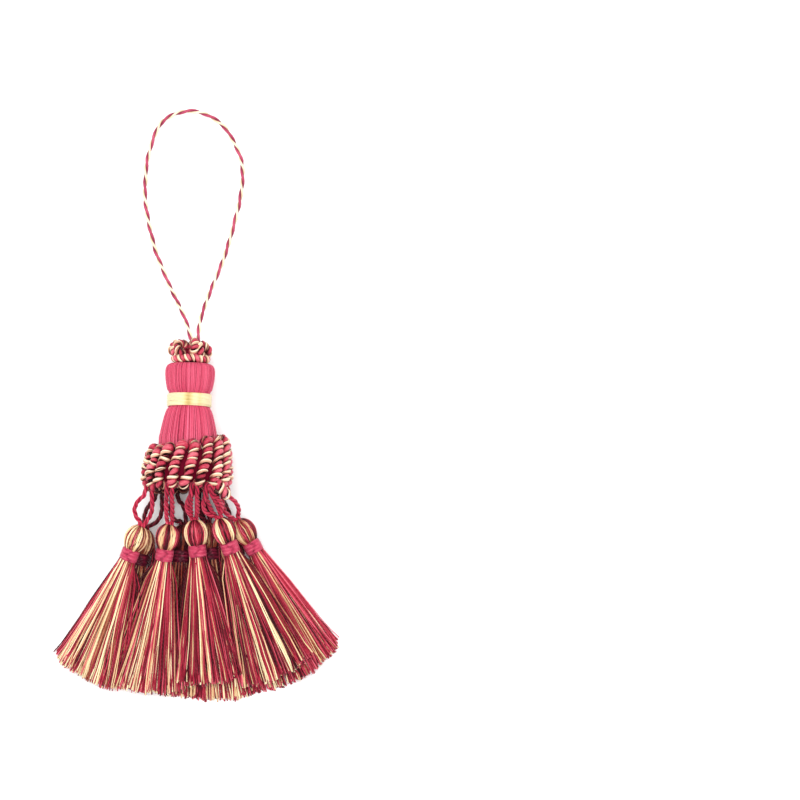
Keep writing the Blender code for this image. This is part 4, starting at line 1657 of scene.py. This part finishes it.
    def _hanger_route(self, axis: HeadAxis, open_share: float) -> Array:
        """Out of the ball's top, up into the ruff's underside and back, bulging on both sides.

        Args:
            axis: The head's axis.
            open_share: How much of its full bulge this turn of the hanger has.

        Returns:
            Points that its middle line runs through.
        """
        middle, along, side, _ = self.axes()
        radius = self.HANGER_RADIUS
        foot = middle - along * (self.BALL_TOP + 1.5 * self.GAP)
        height = self.RUFF_UNDERSIDE - self.GAP - radius
        anchor = np.array(math.radians(self.anchor))
        hidden = axis.place(anchor, self.HANGER_RING, height + self.HIDDEN)
        way = axis.place(anchor, self.HANGER_RING, height) - foot
        across = unit(np.cross(way, UP))
        halves = []
        for sign, bulge in zip((1, -1), self.bulges[::-1]):
            out = side * sign * radius
            half = [middle - along * back + out * share for back, share in self.HANGER_FOOT]
            half.append(foot - along * radius + out * self.FOOT_OUT)
            for share, swell in self.HANGER_SWELLS:
                swollen = radius + bulge * MM * swell * open_share
                half.append(foot + way * share + across * sign * swollen)
            half.append(hidden + across * sign * radius)
            halves.append(half)
        return np.array(halves[0] + halves[1][::-1])

    def _build_hanger(self, rng: np.random.Generator, axis: HeadAxis, palette: Palette) -> None:
        """Lays the three-ply hanger along its route."""
        mesh = StrandMesh()
        darker, at, width = self.BEND_SHADE
        for k in range(self.hanger_turns):
            knots = self._hanger_route(axis, 1 - self.SECOND_CLOSER * k)
            knots = knots - UP * self.SECOND_LOWER * k
            length = walked(smooth_line(knots, self.HANGER_FINE))[-1]
            line = smooth_line(knots, self.HANGER.count(length))
            # Painted shade: the second turn, the bend under the ruff, and lying under other
            # tassels.
            tone = self.HANGER_TONE - self.SECOND_SHADE * k - self.sheltered_shade
            tone = tone - darker * bell(walked(line) / length, at, width)
            self.HANGER.lay_along(mesh, line, rng, UP, self.HANGER_UNREST, tone)
        piece = mesh.make(f"{self.name}_hanger", [palette.cord_crimson.material()])
        settle(piece, "crimson_thread", f"hanger_{self.name}")


SMALL_TASSELS = (
    SmallTassel("back_1", (-18.0, -31.4, 5.0), 0, (-20.0, -3.0), (47, 49), (1.0, 1.0), 0.65, 225,
                (1.8, 2.8), "gwcgcbgwcg", "cgdpcwcdcgwcdb", 140, 61, 0.5, (2.0, 12.0), 1, (0, 34)),
    SmallTassel("back_2", (-2.2, -30.0, 5.0), 0, (-8.0, 2.0), (51.5, 53), (1.0, 1.0), 0.65, 251,
                (2.6, 1.6), "wgcdcdbcdgcd", "cdgcwdcpdwcdg", 130, 62, 0.5, (7.0, 4.0), 1, (16, 0)),
    SmallTassel("back_3", (8.2, -29.0, 5.0), 0, (-5.0, 14.0), (54.5, 56.0), (1.0, 1.0), 0.65, 292,
                (1.6, 1.8), "cbgbcgbcgbcb", "gdccgwcdwcgwcd", 160, 63, 0.5, (4.0, 13.0), 2,
                (0, 24)),
    SmallTassel("back_4", (17.8, -35.4, 5.0), 0, (0.0, 27.0), (46, 47), (1.0, 1.0), 0.65, 328,
                (0.2, 1.6), "cgcdcgcdc", "cdgcwccdpgwcdccw", 150, 64, 0.5, (10.0, 3.0)),
    SmallTassel("front_1", (-20.4, -29.8, 14.9), 10, (-34.5, -9.5), (46.8, 51.6), (1.5, 5.0), 0.9,
                164, (3.6, 1.8), "cwgcwbgcgwwcgbwgc", "dpwwwwgcwcdcwbwcbbcwcwdcbccwc", 240, 65, 0.0,
                (0.0, 10.0)),
    SmallTassel("front_2", (-8.1, -29.4, 15.0), 8, (-19.2, 0.6), (52.2, 52.5), (4.7, 4.7), 0.9, 116,
                (0.3, 0.3), "ccdcgwgcdcgwgcdcc", "cdcwwwgcwwwcwcpcccwgwwcdccdcwc", 240, 66, 0.0,
                (9.0, 5.0)),
    SmallTassel("front_3", (3.2, -27.7, 15.2), 8, (-6.0, 17.3), (50.3, 50.3), (4.7, 4.7), 0.9, 78,
                (2.2, 0.5), "cgwgcdccpccdcgwwc", "gccdccgccdccccpwcccdccccpccdccdcc", 240, 67, 0.0,
                (5.0, 6.0), 2),
    SmallTassel("front_4", (14.4, -26.8, 15.4), 8, (10.2, 30.0), (53.3, 51.5), (5.4, 7.1), 0.9, 56,
                (3.4, 2.4), "ccpcwgcdccgwcdc", "cdccgccdcwwwcccdccgcdccdwwwgdccdc", 240, 68, 0.0,
                (7.0, 6.0), 2),
    SmallTassel("front_5", (22.4, -27.2, 9.3), 6, (20.5, 39.3), (53.5, 48.0), (3.8, 1.5), 0.9, 10,
                (2.0, 2.0), "cpcgwgccbcgccdc", "dcgcdccgccpcccdgccwgccgccdcpccp", 240, 69, 0.0,
                (9.0, 0.0)),
)


# ---------------------------------------------------------------------------------------------
# Studio
# ---------------------------------------------------------------------------------------------


@dataclass
class Studio:
    """The table, the soft light over it and the camera that looks straight down."""

    view_width: float = 0.320
    distance: float = 8.0
    aim: Pair = (0.0848, 0.0252)
    sensor: float = 36.0
    farthest: float = 20.0
    table_side: float = 6.0
    table_drop: float = 0.05 * MM
    sky: float = 0.82
    lamp_size: float = 1.5
    lamp_place: Point = (-0.12, 0.28, 1.8)
    # How far the lamp is turned about each axis, in degrees.
    lamp_turn: Triple = (-9.0, -4.0, 0.0)
    lamp_power: float = 40.0

    def place_camera(self) -> None:
        """Puts the camera over the middle of the picture."""
        data = bpy.data.cameras.new("camera")
        data.sensor_width = self.sensor
        data.lens = self.sensor * self.distance / self.view_width
        data.clip_end = self.farthest
        camera = placed("camera", data)
        camera.location = (*self.aim, self.distance)
        bpy.context.scene.camera = camera

    def build(self) -> None:
        """Makes the table, the lamp and the sky."""
        scene = bpy.context.scene
        scene.view_settings.view_transform = "Standard"
        half = self.table_side / 2
        mesh = bpy.data.meshes.new("table")
        corners = ((-half, -half), (half, -half), (half, half), (-half, half))
        points = [(x, y, -self.table_drop) for x, y in corners]
        mesh.from_pydata(points, [], [(0, 1, 2, 3)])
        mesh.materials.append(TableFinish().material())
        placed("table", mesh)

        lamp = bpy.data.lights.new("overhead_softbox", "AREA")
        lamp.shape = "SQUARE"
        lamp.size = self.lamp_size
        lamp.energy = self.lamp_power
        holder = placed("overhead_softbox", lamp)
        holder.location = self.lamp_place
        holder.rotation_euler = Euler([math.radians(x) for x in self.lamp_turn])

        world = bpy.data.worlds.new("studio")
        world.use_nodes = True
        sky = world.node_tree.nodes["Background"]
        sky.inputs["Color"].default_value = (1.0, 1.0, 1.0, 1.0)
        sky.inputs["Strength"].default_value = self.sky
        scene.world = world


def main() -> None:
    """Builds the studio and every sub-assembly."""
    logging.basicConfig(level=logging.INFO, format="%(name)s: %(message)s")
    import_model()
    palette = Palette()
    axis = HeadAxis()
    studio = Studio()
    studio.place_camera()
    HangingLoop().build(palette)
    Head(axis).build(palette)
    GoldBand(axis).build(palette)
    Ruff(axis).build(palette)
    Collar(axis).build(palette)
    for tassel in SMALL_TASSELS:
        tassel.build(axis, palette)
    studio.build()


if __name__ == "__main__":
    main()
